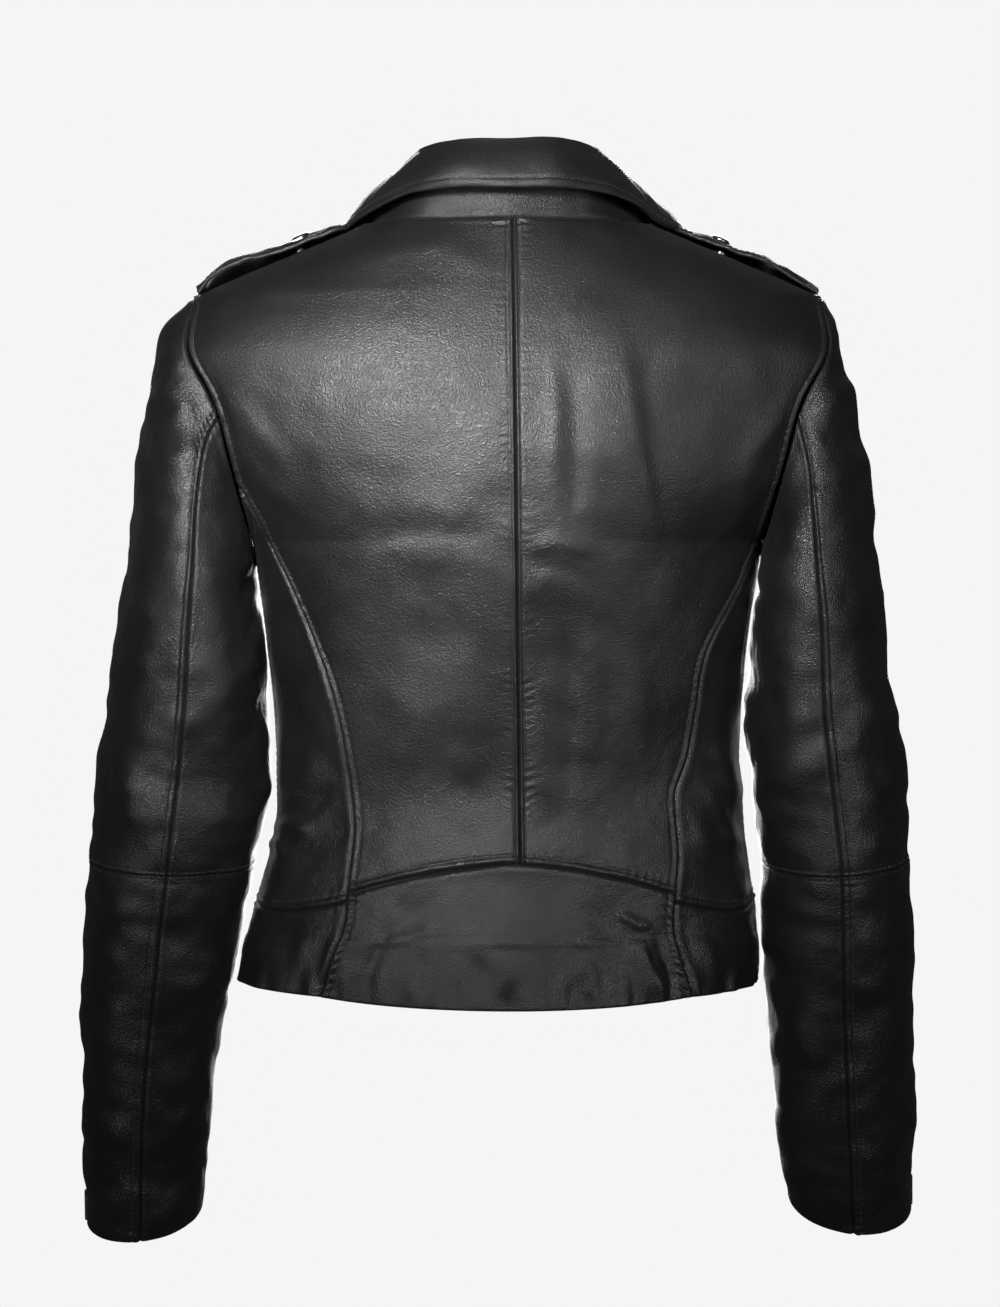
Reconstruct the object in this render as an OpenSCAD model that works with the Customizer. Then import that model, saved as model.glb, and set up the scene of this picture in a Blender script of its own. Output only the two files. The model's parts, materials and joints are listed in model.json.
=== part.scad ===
// Cropped leather riding jacket, hung closed on an invisible form.
// Frame: origin at the neck seam in the middle of the back, +Z up, the front faces -Y,
// and +X is the wearer's left. "Drop" is the distance below the neck seam, so z = -drop.

/* [Body] */
// Thickness of the shell leather
leather = 1.6; // [1:0.1:2.2]
// Half width of the neck opening
neck_half = 92; // [88:1:96]
// Half width at the shoulder tips
tip_half = 209.5; // [205:0.5:212]
// Drop of the shoulder tips below the neck seam
tip_drop = 50; // [46:1:54]
// Half depth of the armholes, front to back
armhole_half = 58; // [50:1:62]
// Drop of the hem in the middle of the back
hem_drop = 521; // [515:1:530]
// Clear gap left at every sewn seam
seam_gap = 0.9; // [0.7:0.05:1.2]

/* [Sleeves] */
// Gap between the sleeve head and the armhole
sleeve_gap = 0.6; // [0.4:0.1:1]
// Station along the sleeve where the elbow seam lies
elbow_station = 7; // [6.9:0.05:7.1]
// Length of each cuff zip
cuff_zip_length = 118; // [90:1:125]

/* [Trim] */
// Width of an epaulette
epaulette_width = 42; // [36:1:46]
// Thickness of an epaulette, two leathers and a filler
epaulette_thickness = 3.2; // [2.4:0.1:3.6]
// Length of a pull tab
puller_length = 21; // [16:1:26]
// Radius of a snap cap
snap_radius = 6.5; // [5:0.5:7]

/* [Detail] */
// Facets on round metal parts
round_facets = 40; // [24:4:64]

/* [Hidden] */

leather_colour = "#1b1a19";
lining_colour = "#2a2a2c";
metal_colour = "#8d8b7c";

// Outline of the torso by drop: [drop, value]
side_left = [[214, 169.5], [300, 159], [360, 154.5], [385, 154], [410, 156], [450, 167], [480, 174],
  [505, 180], [525, 184]];
side_right = [[214, 169.5], [300, 158], [360, 154], [385, 156], [410, 159], [450, 165], [480, 167.5],
  [505, 168.5], [525, 169]];
back_line = [[0, 0], [40, 20], [90, 38], [150, 46], [220, 41], [300, 26], [380, 13], [440, 17], [510, 22],
  [525, 23]];
front_line = [[0, -118], [50, -130], [75, -138], [120, -160], [200, -188], [240, -190], [300, -181],
  [380, -166], [440, -172], [510, -182], [525, -184]];
middle_line = [[0, -62], [150, -62], [250, -66], [380, -74], [525, -74]];
underarm_drop = 214;
underarm_half = 169.5;

// Seams, as distance from the middle by drop
back_seam_start = 176;  // where the curved back seams leave the armholes
front_seam_start = 150; // where the front ones do
back_seam_left = [[176, 178], [195, 167], [217, 156], [240, 145], [272, 132], [301, 120], [328, 112],
  [361, 106], [398, 102], [418, 103], [445, 106], [465, 107], [525, 128]];
back_seam_right = [[176, 178], [195, 172.5], [207, 168], [226, 161], [245, 153], [282, 132], [301, 127],
  [326, 124], [357, 119], [381, 111], [418, 113], [441, 111], [467, 110], [488, 114], [525, 124]];
front_seam = [[150, 184], [180, 140], [220, 108], [300, 92], [380, 84], [445, 90], [525, 98]];
middle_seam = -6;
front_top = 190;       // drop where the front zip begins and the lapels end
front_top_x = -30;     // its place across the front
front_end_x = 45;      // the zip's foot at the hem, across the front
band_drop = 425;       // seam of the hem band in the middle of the back
band_left_x = 106;     // where that seam meets the curved back seams
band_right_x = 111;
front_band_drop = 448;

// Sleeve stations from armhole to cuff: [outer x, outer z, inner x, inner z, middle y, half depth]
sleeve_left = [[210, -50, 170, -214, -62, 58], [229, -72, 168.5, -228, -62, 63],
  [241, -120, 166.5, -246, -61, 69], [249, -178, 163, -276, -60, 73],
  [258, -245, 161, -312, -60, 72], [267, -312, 158.5, -348, -60, 68],
  [274, -366, 161, -382, -62, 64], [279, -424, 170, -428, -67, 60], [284, -480, 180, -482, -77, 56],
  [287, -560, 196, -560, -98, 52], [287, -625, 204, -625, -117, 48], [287, -674, 208, -664, -132, 46]];
sleeve_right = [[210, -50, 170, -214, -62, 58], [221, -76, 168.5, -228, -62, 63],
  [231, -120, 166.5, -246, -61, 69], [241, -178, 163, -276, -60, 72],
  [251, -245, 160.5, -308, -60, 70], [257, -312, 158.5, -342, -60, 66],
  [264, -370, 163, -382, -62, 62], [269, -424, 170, -428, -67, 59], [272, -480, 171.5, -482, -77, 56],
  [273.5, -560, 178, -560, -98, 52], [274, -625, 186, -625, -117, 48], [275, -664, 191, -656, -132, 46]];
cuff_station = 11;
back_seam_angle = 90;   // sleeve seam at the back, round the tube from the outer side
front_seam_angle = -62; // sleeve seam at the front
cuff_zip_angle = -32;   // cuff zip, forward of the outer side

// Collar stations from the middle of the back to one front end: neck seam, fold and leaf edge
collar_seam = [[0, 0, 1], [38, -5, 1], [70, -23, 1], [89, -58, 1], [80, -95, -5], [73.5, -113, -20],
  [61.5, -125, -40]];
collar_fold = [[0, -3, 50], [30, -8, 50], [56, -27, 46], [69, -60, 38], [68, -90, 24], [62, -111, 4],
  [53, -122, -18]];
collar_edge = [[0, 10, 17], [36, 6, 17], [72, -14, 13], [104, -52, 3], [111, -88, -2], [104, -120, -26],
  [90, -138, -50]];

// ---- Functions ----

function mix(a, b, t) = a + (b - a) * t;
function unit(v) = v / norm(v);
function smooth(t) = let (c = max(0, min(1, t))) c * c * (3 - 2 * c);

// Value on a smooth curve through [key, value] rows
function span(rows, key, i = 0) = i >= len(rows) - 2 || key < rows[i + 1][0] ? i : span(rows, key, i + 1);
function slope(rows, i) =
  let (a = max(0, i - 1), b = min(len(rows) - 1, i + 1))
  (rows[b][1] - rows[a][1]) / (rows[b][0] - rows[a][0]);
function hermite(p0, p1, m0, m1, t) =
  (2 * t ^ 3 - 3 * t ^ 2 + 1) * p0 + (t ^ 3 - 2 * t ^ 2 + t) * m0
  + (3 * t ^ 2 - 2 * t ^ 3) * p1 + (t ^ 3 - t ^ 2) * m1;
function curve(rows, key) =
  let (i = span(rows, key), step = rows[i + 1][0] - rows[i][0])
  let (t = max(0, min(1, (key - rows[i][0]) / step)))
  hermite(rows[i][1], rows[i + 1][1], slope(rows, i) * step, slope(rows, i + 1) * step, t);

// Point on a smooth curve through evenly numbered stations, each a list of numbers
function station(rows, k) =
  let (i = max(0, min(len(rows) - 2, floor(k))), t = max(0, min(1, k - i)))
  let (before = rows[max(0, i - 1)], after = rows[min(len(rows) - 1, i + 2)])
  hermite(rows[i], rows[i + 1], (rows[i + 1] - before) / (i == 0 ? 1 : 2),
    (after - rows[i]) / (i == len(rows) - 2 ? 1 : 2), t);

// Torso: half width, armhole depth and half depth by drop
function edge_x(side, drop) =
  drop < tip_drop ? mix(neck_half, tip_half, drop / tip_drop)
  : drop < underarm_drop ? mix(tip_half, underarm_half, (drop - tip_drop) / (underarm_drop - tip_drop))
  : curve(side > 0 ? side_left : side_right, drop);
function armhole_y(drop) =
  let (mid = (tip_drop + underarm_drop) / 2, half = (underarm_drop - tip_drop) / 2)
  let (t = (drop - mid) / half)
  abs(t) >= 1 ? 0 : armhole_half * sqrt(1 - t * t);
function depth(front, drop) =
  front ? curve(middle_line, drop) - curve(front_line, drop)
  : curve(back_line, drop) - curve(middle_line, drop);
function full_angle(front, drop, inset) =
  let (deep = depth(front, drop) - inset)
  acos(min(armhole_y(drop), deep * 0.97) / deep);

// Share of the way round from the middle (0) to the side edge (1 or -1) for a distance x
function share(front, x, drop) =
  let (side = x < 0 ? -1 : 1, most = full_angle(front, drop, 0))
  side * asin(min(1, abs(x) / edge_x(side, drop) * sin(most))) / most;

// Point on the torso at that share and drop, moved inwards by inset
function torso(front, part, drop, inset = 0) =
  let (side = part < 0 ? -1 : 1, wide = edge_x(side, drop) - inset)
  let (deep = depth(front, drop) - inset, most = full_angle(front, drop, inset), a = abs(part) * most)
  [
    side * wide * sin(a) / sin(most),
    curve(middle_line, drop) + (front ? -1 : 1) * deep * cos(a),
    -drop - inset * (1 - smooth((drop - 60) / 60))
  ];
function torso_at(front, x, drop, inset = 0) = torso(front, share(front, x, drop), drop, inset);

// Sleeve: point round the tube at a station, moved inwards by inset
function sleeve_point(rows, k, angle, inset = 0) =
  let (r = station(rows, k), near = station(rows, k - 0.4), far = station(rows, k + 0.4))
  let (lean = atan2(near[4] - far[4], (near[1] + near[3] - far[1] - far[3]) / 2) * smooth((k - 4) / 3))
  let (half = [(r[0] - r[2]) / 2, 0, (r[1] - r[3]) / 2], size = norm(half))
  let (across = half * (size - inset) / size)
  let (gap = sleeve_gap * (1 - smooth(k / 2)))
  [(r[0] + r[2]) / 2 + gap, r[4], (r[1] + r[3]) / 2]
  + across * cos(angle)
  + (r[5] - inset) * sin(angle) * [0, cos(lean), -sin(lean)];

function neck_x(drop) = mix(90, front_top_x, drop / front_top);       // edge of the left front
function right_neck_x(drop) = mix(90, -front_top_x, drop / front_top); // the same on the right, mirrored
function zip_x(drop) = mix(front_top_x, front_end_x, (drop - front_top) / (hem_drop - front_top));
function left_edge_x(drop) = drop < front_top ? neck_x(drop) : zip_x(drop);
function right_edge_x(drop) = drop < front_top ? -right_neck_x(drop) : zip_x(drop);
zip_half = 4;           // half the gap between the two fronts

// Drop of the hem and of the band's seam by place across the back
function hem_at(x) = hem_drop - 16 * (x / 180) ^ 2;
function band_at(x) = band_drop + 20 * (abs(x) / band_left_x) ^ 1.5;

// ---- Surfaces ----

// Closed sheet between two equal grids of points, seen from outside with rows downwards
module sheet(outer, inner, flip = false) {
  rows = len(outer);
  cols = len(outer[0]);
  points = concat([for (r = outer) each r], [for (r = inner) each r]);
  base = rows * cols;
  quads = [
    for (i = [0 : rows - 2], j = [0 : cols - 2])
      [i * cols + j, i * cols + j + 1, (i + 1) * cols + j + 1, (i + 1) * cols + j]
  ];
  sides = concat(
    [for (j = [0 : cols - 2]) [j + 1, j, base + j, base + j + 1]],
    [for (j = [0 : cols - 2]) let (k = base - cols + j) [k, k + 1, base + k + 1, base + k]],
    [for (i = [0 : rows - 2]) let (k = i * cols) [k, k + cols, base + k + cols, base + k]],
    [for (i = [0 : rows - 2]) let (k = i * cols + cols - 1) [k + cols, k, base + k, base + k + cols]]
  );
  faces = concat(
    [for (q = quads) each [[q[0], q[2], q[1]], [q[0], q[3], q[2]]]],
    [for (q = quads) each [for (f = [[q[0], q[1], q[2]], [q[0], q[2], q[3]]]) f + base * [1, 1, 1]]],
    [for (q = sides) each [[q[0], q[2], q[1]], [q[0], q[3], q[2]]]]
  );
  polyhedron(points, flip ? [for (f = faces) [f[0], f[2], f[1]]] : faces, convexity = 6);
}

// Closed tube wall between two equal grids of points, whose rows are full rings
module tube(outer, inner) {
  rows = len(outer);
  cols = len(outer[0]);
  points = concat([for (r = outer) each r], [for (r = inner) each r]);
  base = rows * cols;
  quads = [
    for (i = [0 : rows - 2], j = [0 : cols - 1])
      let (next = (j + 1) % cols)
      [i * cols + j, i * cols + next, (i + 1) * cols + next, (i + 1) * cols + j]
  ];
  ends = [
    for (j = [0 : cols - 1], last = [0, base - cols])
      let (next = (j + 1) % cols)
      last == 0 ? [next, j, base + j, base + next]
      : [last + j, last + next, base + last + next, base + last + j]
  ];
  faces = concat(
    [for (q = quads) each [[q[0], q[1], q[2]], [q[0], q[2], q[3]]]],
    [for (q = quads) each [for (f = [[q[0], q[2], q[1]], [q[0], q[3], q[2]]]) f + base * [1, 1, 1]]],
    [for (q = ends) each [[q[0], q[1], q[2]], [q[0], q[2], q[3]]]]
  );
  polyhedron(points, faces, convexity = 6);
}

// Torso panel between two edges given as x by drop, from a top to a bottom drop by share across
module torso_panel(front, from_x, to_x, top, bottom, rows, cols, outside = 0, thick = leather) {
  grid = [
    for (inset = [outside, outside + thick])
      [
        for (i = [0 : rows])
          [
            for (j = [0 : cols])
              let (t = j / cols, drop = mix(top(t), bottom(t), i / rows))
              let (a = share(front, from_x(drop), drop) + seam_gap / 2 / edge_x(1, drop))
              let (b = share(front, to_x(drop), drop) - seam_gap / 2 / edge_x(1, drop))
              torso(front, mix(a, b, t), drop, inset)
          ]
      ]
  ];
  sheet(grid[0], grid[1], front);
}

// Sleeve panel between two angles round the tube and two stations along it
module sleeve_panel(rows, from_k, to_k, from_angle, to_angle, steps, cols, outside = 0, thick = leather) {
  grid = [
    for (inset = [outside, outside + thick])
      [
        for (i = [0 : steps])
          [
            for (j = [0 : cols])
              sleeve_point(rows, mix(from_k, to_k, i / steps), mix(from_angle, to_angle, j / cols), inset)
          ]
      ]
  ];
  sheet(grid[0], grid[1], true);
}

module sleeve_tube(rows, from_k, to_k, steps, outside, thick) {
  ring = 16;
  grid = [
    for (inset = [outside, outside + thick])
      [
        for (i = [0 : steps])
          [for (j = [0 : ring - 1]) sleeve_point(rows, mix(from_k, to_k, i / steps), j * 360 / ring, inset)]
      ]
  ];
  tube(grid[0], grid[1]);
}

// Sets a child down at a point: its Z along the outward normal, its Y along the given line
module set_on(p, normal, line) {
  z = unit(normal);
  x = unit(cross(line, z));
  y = cross(z, x);
  multmatrix([
    [x[0], y[0], z[0], p[0]],
    [x[1], y[1], z[1], p[1]],
    [x[2], y[2], z[2], p[2]],
    [0, 0, 0, 1]
  ]) children();
}

// ---- Torso shell ----

whole_left = function (drop) edge_x(1, drop);
whole_right = function (drop) -edge_x(-1, drop);
middle_edge = function (drop) middle_seam;
left_back_seam = function (drop) drop < back_seam_start ? edge_x(1, drop) : curve(back_seam_left, drop);
right_back_seam = function (drop) drop < back_seam_start ? -edge_x(-1, drop) : -curve(back_seam_right, drop);
left_front_seam = function (drop) drop < front_seam_start ? edge_x(1, drop) : curve(front_seam, drop);
right_front_seam = function (drop) drop < front_seam_start ? -edge_x(-1, drop) : -curve(front_seam, drop);
left_front_edge = function (drop) left_edge_x(drop) + zip_half;
right_front_edge = function (drop) right_edge_x(drop) - zip_half;
side_band = function (t) 451 + 7 * sin(180 * t);
panel_top = 0.6;        // drop of the back panels' upper edges
front_panel_top = 1.5;
side_left_top = 184;    // drop of the narrow tops of the side panels
side_right_top = 206;
side_front_top = 154;
hem_seam_x = 125;       // curved back seams at the hem
hem_side_x = 180;       // left and right side of the hem, for its rise
hem_right_x = 170;
skin_gap = 0.4;         // extra room along the side panels' edges
side_front_gap = 0.7;
band_thick = leather * 1.4;
front_band = function (t) front_band_drop;

module back_left() {
  color(leather_colour)
    torso_panel(false, middle_edge, left_back_seam, function (t) panel_top,
      function (t) band_at(mix(middle_seam, band_left_x, t)) - seam_gap, 16, 9);
}

module back_right() {
  color(leather_colour)
    torso_panel(false, right_back_seam, middle_edge, function (t) panel_top,
      function (t) band_at(mix(band_right_x, middle_seam, t)) - seam_gap, 16, 9);
}

module side_back_left() {
  color(leather_colour)
    torso_panel(false, left_back_seam, whole_left, function (t) side_left_top,
      function (t) side_band(t) - seam_gap, 12, 4);
}

module side_back_right() {
  color(leather_colour)
    torso_panel(false, whole_right, function (drop) right_back_seam(drop) - skin_gap,
      function (t) side_right_top, function (t) side_band(t) - seam_gap, 12, 4);
}

module front_left() {
  color(leather_colour)
    torso_panel(true, left_front_edge, left_front_seam, function (t) front_panel_top,
      function (t) front_band_drop - seam_gap, 16, 8);
}

module front_right() {
  color(leather_colour)
    torso_panel(true, right_front_seam, right_front_edge, function (t) front_panel_top,
      function (t) front_band_drop - seam_gap, 16, 8);
}

module side_front_left() {
  color(leather_colour)
    torso_panel(true, function (drop) left_front_seam(drop) + side_front_gap, whole_left,
      function (t) side_front_top, function (t) front_band_drop - seam_gap, 12, 5);
}

module side_front_right() {
  color(leather_colour)
    torso_panel(true, whole_right, function (drop) right_front_seam(drop) - side_front_gap,
      function (t) side_front_top, function (t) front_band_drop - seam_gap, 12, 5);
}

module hem_back() {
  color(leather_colour)
    torso_panel(false, right_back_seam, left_back_seam, function (t) band_at(band_right_x * (2 * t - 1)),
      function (t) hem_at(hem_seam_x * (2 * t - 1)), 4, 14, 0, band_thick);
}

module hem_side(side) {
  from_x = side > 0 ? left_back_seam : whole_right;
  to_x = side > 0 ? whole_left : right_back_seam;
  color(leather_colour)
    torso_panel(false, from_x, to_x, side_band,
      function (t) hem_at(side > 0 ? mix(hem_seam_x, hem_side_x, t) : mix(hem_right_x, hem_seam_x, t)),
      4, 5, 0, band_thick);
}

module hem_side_left() {
  hem_side(1);
}

module hem_side_right() {
  hem_side(-1);
}

module hem_front_left() {
  color(leather_colour)
    torso_panel(true, left_front_edge, whole_left, front_band,
      function (t) hem_at(mix(front_end_x, hem_side_x, t)), 4, 9, 0, band_thick);
}

module hem_front_right() {
  color(leather_colour)
    torso_panel(true, whole_right, right_front_edge, front_band,
      function (t) hem_at(mix(-hem_right_x, front_end_x, t)), 4, 11, 0, band_thick);
}

// ---- Collar and lapels ----

// Station of a collar row on the left (k > 0) or the right (k < 0)
function collar_row(rows, k) = let (p = station(rows, abs(k))) [k < 0 ? -p[0] : p[0], p[1], p[2]];
function collar_out(k) = let (p = collar_row(collar_seam, k)) unit([p[0], p[1] + 62, 0]);
collar_steps = 24;
collar_end = 5.8;
leaf_gap = 2.4;

module collar_stand() {
  grid = [
    for (out = [0, -leather])
      [
        for (v = [1, 0.66, 0.33, 0])
          [
            for (i = [0 : collar_steps])
              let (k = mix(-collar_end, collar_end, i / collar_steps), n = collar_out(k))
              mix(collar_row(collar_seam, k), collar_row(collar_fold, k), v) + n * (out - 1.4 * v)
          ]
      ]
  ];
  color(leather_colour) sheet(grid[0], grid[1]);
}

module collar_leaf() {
  grid = [
    for (out = [leather * 1.5, 0])
      [
        for (v = [0, 0.12, 0.35, 0.65, 1])
          [
            for (i = [0 : collar_steps])
              let (k = mix(-collar_end, collar_end, i / collar_steps), n = collar_out(k))
              mix(collar_row(collar_fold, k), collar_row(collar_edge, k), v)
              + n * (out + leaf_gap * 0.5 + leaf_gap * sin(180 * v)) + [0, 0, v == 0 ? 1 : 0]
          ]
      ]
  ];
  color(leather_colour) sheet(grid[0], grid[1]);
}

// Lapel folded out over the front: inner edge on the fold, outer edge towards the shoulder
lapel_top = 38;
lapel_width = 56;

module lapel(side) {
  fold_end = side > 0 ? front_top_x : -front_top_x;
  outline = [
    for (i = [0 : 8])
      let (v = i / 8, drop = mix(lapel_top, front_top - 8, v), fold = mix(90, fold_end, drop / front_top) + 5)
      [for (j = [0 : 5]) let (u = j / 5) [fold + (lapel_width * (1 - v) + 4) * u, drop + 34 * (1 - v) * u]]
  ];
  grid = [
    for (lift = [leather * 1.5 + 1, 1])
      [for (row = outline) [for (p = row) torso_at(true, side * p[0], p[1]) - [0, lift, 0]]]
  ];
  color(leather_colour) sheet(grid[0], grid[1], side > 0);
}

module lapel_left() {
  lapel(1);
}

module lapel_right() {
  lapel(-1);
}

// ---- Inside ----

facing_drop = 42;
inside = 4;           // distance of the lining from the outer face
pad_lift = 5;         // extra room under the shoulders for the pads
lining = 0.7;
lining_rise = 14;     // height of the lining's edge over the hem
function pad_room(part, drop) = pad_lift * smooth((abs(part) - 0.45) / 0.2) * (1 - smooth((drop - 70) / 50));

module lining_panel(front, from_x, to_x, top, bottom, rows, cols) {
  grid = [
    for (thick = [0, lining])
      [
        for (i = [0 : rows])
          [
            for (j = [0 : cols])
              let (t = j / cols, drop = mix(top(t), bottom(t), i / rows))
              let (part = mix(share(front, from_x(drop), drop), share(front, to_x(drop), drop), t) * 0.995)
              torso(front, part, drop, inside + thick + pad_room(part, drop))
          ]
      ]
  ];
  color(lining_colour) sheet(grid[0], grid[1], front);
}

function facing_edge(drop) = min(110, edge_x(1, drop) * 0.8);

module neck_facing() {
  color(leather_colour)
    torso_panel(false, function (drop) -facing_edge(drop), function (drop) facing_edge(drop),
      function (t) 3, function (t) facing_drop - 10 * (2 * t - 1) ^ 2, 4, 12, inside - 0.9, 0.8);
}

module lining_back() {
  lining_panel(false, whole_right, whole_left, function (t) 12,
    function (t) hem_at(hem_side_x * (2 * t - 1)) - lining_rise, 12, 14);
}

module lining_front_left() {
  lining_panel(true, function (drop) left_edge_x(drop) + 22, whole_left, function (t) 16,
    function (t) hem_at(mix(60, hem_side_x, t)) - lining_rise, 12, 8);
}

module lining_front_right() {
  lining_panel(true, whole_right, function (drop) right_edge_x(drop) - 22, function (t) 16,
    function (t) hem_at(mix(-hem_side_x, 30, t)) - lining_rise, 12, 8);
}

pad_inset = 4.2;       // the pad's outer face, clear of the shell's facets
pad_full = 3;          // thickness of a pad in its middle

// Crescent of wadding over the shoulder, between shell and lining, in two halves over the ridge
module shoulder_pad(side) {
  for (front = [false, true]) {
    grid = [
      for (thick = [0, 1])
        [
          for (i = [0 : 4])
            [
              for (j = [0 : 4])
                let (u = j / 4, v = i / 4, part = side > 0 ? mix(0.7, 0.88, u) : mix(-0.88, -0.7, u))
                let (full = sin(180 * mix(0.1, 0.9, u)) * sin(180 * mix(0.1, 0.9, v)))
                torso(front, part, mix(34, 60, v), pad_inset + thick * pad_full * full)
            ]
        ]
    ];
    color("#d8d6d0") sheet(grid[0], grid[1], front);
  }
}

module shoulder_pad_left() {
  shoulder_pad(1);
}

module shoulder_pad_right() {
  shoulder_pad(-1);
}

// Loop of leather strip inside the back of the neck, from which the jacket hangs
module hanger_loop() {
  width = 62;
  strip = 6;
  sag = 9;
  color(leather_colour)
    for (end = [-1, 1]) {
      translate([end * width / 2 - 3, -9.6, -13]) cube([6, 1.5, 12]);
      translate([end * width / 2 - 3, -11.1 - sag, -7]) cube([6, sag + 1.5, 1.5]);
    }
  color(leather_colour) translate([-width / 2 - 3, -12.6 - sag, -9.6]) cube([width + 6, 1.5, strip]);
}

module size_label() {
  color("#202022") translate([-17, -4.6, -38]) rotate([8, 0, 0]) cube([34, 0.5, 20]);
}

// ---- Zips, sliders and pull tabs ----

tape_half = 14;
teeth_half = 2.6;

// Strip along the front, wide either side of a line of [x, drop], between two distances from the surface
module front_strip(line, half, outside, thick) {
  grid = [
    for (inset = [outside, outside + thick])
      [for (p = line) [for (u = [-1, 0, 1]) torso_at(true, p[0] + u * half, p[1], inset)]]
  ];
  sheet(grid[0], grid[1], true);
}

front_zip_line = [for (i = [0 : 14]) let (drop = mix(front_top + 4, 508, i / 14)) [zip_x(drop), drop]];

module front_zip_tape() {
  color(lining_colour) front_strip(front_zip_line, tape_half, leather * 1.4 + 0.8, 0.8);
}

module front_zip_teeth() {
  color(metal_colour) front_strip(front_zip_line, teeth_half, -0.4, leather * 1.4 + 0.4);
}

slider_length = 12;
slider_base = 1;       // clear height under a slider
pin_height = 5.4;      // height of the pull tab's hinge over the surface
pin_radius = 0.75;
pin_clearance = 0.35;

// Slider standing on a chain of teeth, its wide end towards +Y
module slider() {
  color(metal_colour) difference() {
    union() {
      translate([0, 0, slider_base]) linear_extrude(2.2) union() {
        translate([-4.4, 0]) square([8.8, slider_length / 2 - 1]);
        translate([-3.4, -slider_length / 2]) square([6.8, slider_length - 1]);
        for (x = [-3.4, 3.4]) translate([x, slider_length / 2 - 1]) circle(1, $fn = round_facets);
        translate([-3.4, slider_length / 2 - 1]) square([6.8, 1]);
      }
      translate([-1.2, -4.2, slider_base + 2]) cube([2.4, 7.2, pin_height - slider_base - 2]);
      translate([-1.2, -0.6, pin_height]) rotate([0, 90, 0]) cylinder(h = 2.4, r = 2.2, $fn = round_facets);
    }
    translate([-2, 0, pin_height]) rotate([0, 90, 0])
      cylinder(h = 4, r = pin_radius + pin_clearance, $fn = round_facets);
  }
}

// Pull tab hanging towards -Y from its pin
module puller(long = puller_length) {
  color(metal_colour) translate([0, 0, pin_height]) {
    translate([-3.6, 0, 0]) rotate([0, 90, 0]) cylinder(h = 7.2, r = pin_radius, $fn = round_facets);
    translate([0, 0, -0.7]) linear_extrude(1.4) difference() {
      union() {
        for (x = [-3.6, 1.9]) translate([x, -7.5]) square([1.7, 7.5]);
        translate([-3.6, -long + 2.6]) square([7.2, long - 9.6]);
        translate([-2.4, -long]) square([4.8, 3]);
        for (x = [-2, 2]) translate([x, -long + 1.6]) circle(1.6, $fn = round_facets);
      }
      translate([0, -long + 4.4]) circle(1.5, $fn = round_facets);
    }
  }
}

// Frame of a point on the front: place, normal and line up along a zip
function front_normal(x, drop) =
  cross(torso_at(true, x + 4, drop) - torso_at(true, x - 4, drop),
    torso_at(true, x, drop - 4) - torso_at(true, x, drop + 4));
front_lift = 1.4;      // height of the front slider, clear of the curved teeth
front_start = 204;
front_stop = 240;
front_low = torso_at(true, zip_x(front_stop), front_stop);
front_high = torso_at(true, zip_x(front_start), front_start);

module at_front_slider() {
  set_on(front_high, front_normal(zip_x(front_start), front_start), front_high - front_low) children();
}

module front_zip_slider() {
  at_front_slider() translate([0, 0, front_lift]) slider();
}

module front_zip_puller() {
  at_front_slider() translate([0, 0, front_lift]) puller(puller_length + 6);
}

// Pocket zips: nearly upright on the fronts, closed at the top
pocket_top = [66, 306];
pocket_end = [78, 426];
pocket_first = 314;
pocket_last = 372;
function pocket_x(side, drop) =
  side * mix(pocket_top[0], pocket_end[0], (drop - pocket_top[1]) / (pocket_end[1] - pocket_top[1]));

module pocket_zip(side) {
  line = [
    for (i = [0 : 8])
      let (drop = mix(pocket_top[1], pocket_end[1], i / 8))
      [pocket_x(side, drop), drop]
  ];
  color(lining_colour) front_strip(line, 6, -1.6, 0.7);
  color(metal_colour) front_strip(line, teeth_half, -3.1, 1.3);
}

module at_pocket_slider(side) {
  high = torso_at(true, pocket_x(side, pocket_first), pocket_first);
  low = torso_at(true, pocket_x(side, pocket_last), pocket_last);
  set_on(high, front_normal(pocket_x(side, pocket_first), pocket_first), high - low)
    translate([0, 0, 3.1]) children();
}

module pocket_zip_left() {
  pocket_zip(1);
}

module pocket_zip_right() {
  pocket_zip(-1);
}

module pocket_slider_left() {
  at_pocket_slider(1) slider();
}

module pocket_slider_right() {
  at_pocket_slider(-1) slider();
}

module pocket_puller_left() {
  at_pocket_slider(1) puller();
}

module pocket_puller_right() {
  at_pocket_slider(-1) puller();
}

// ---- Epaulettes and snaps ----

// Height of an epaulette's upper face over the shoulder line, by x
bow_left = [[114, 6], [130, 8], [153, 9], [171, 12], [186, 14.5], [197, 11], [206, 5]];
bow_right = [[124, 6], [137, 8], [153, 8], [172, 10], [190, 8], [200, 6], [206, 5]];
function shoulder_z(x) = -tip_drop * (x - neck_half) / (tip_half - neck_half);

module epaulette(side) {
  bow = side > 0 ? bow_left : bow_right;
  first = bow[0][0];
  last = 206;
  grid = [
    for (down = [0, epaulette_thickness])
      [
        for (v = [-1, -0.6, 0, 0.6, 1])
          [
            for (i = [0 : 12])
              let (x = mix(first, last, i / 12), round_end = sqrt(1 - max(0, 1 - (x - first + 3) / 20) ^ 2))
              let (drape = 3.4 * v * v)
              [x, -62 + v * epaulette_width / 2 * round_end, shoulder_z(x) + curve(bow, x) - drape - down + 1]
          ]
      ]
  ];
  color(leather_colour) mirror([side > 0 ? 0 : 1, 0, 0]) sheet(grid[0], grid[1]);
}

module epaulette_left() {
  epaulette(1);
}

module epaulette_right() {
  epaulette(-1);
}

snap_left_x = 138;
snap_right_x = 142;

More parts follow.
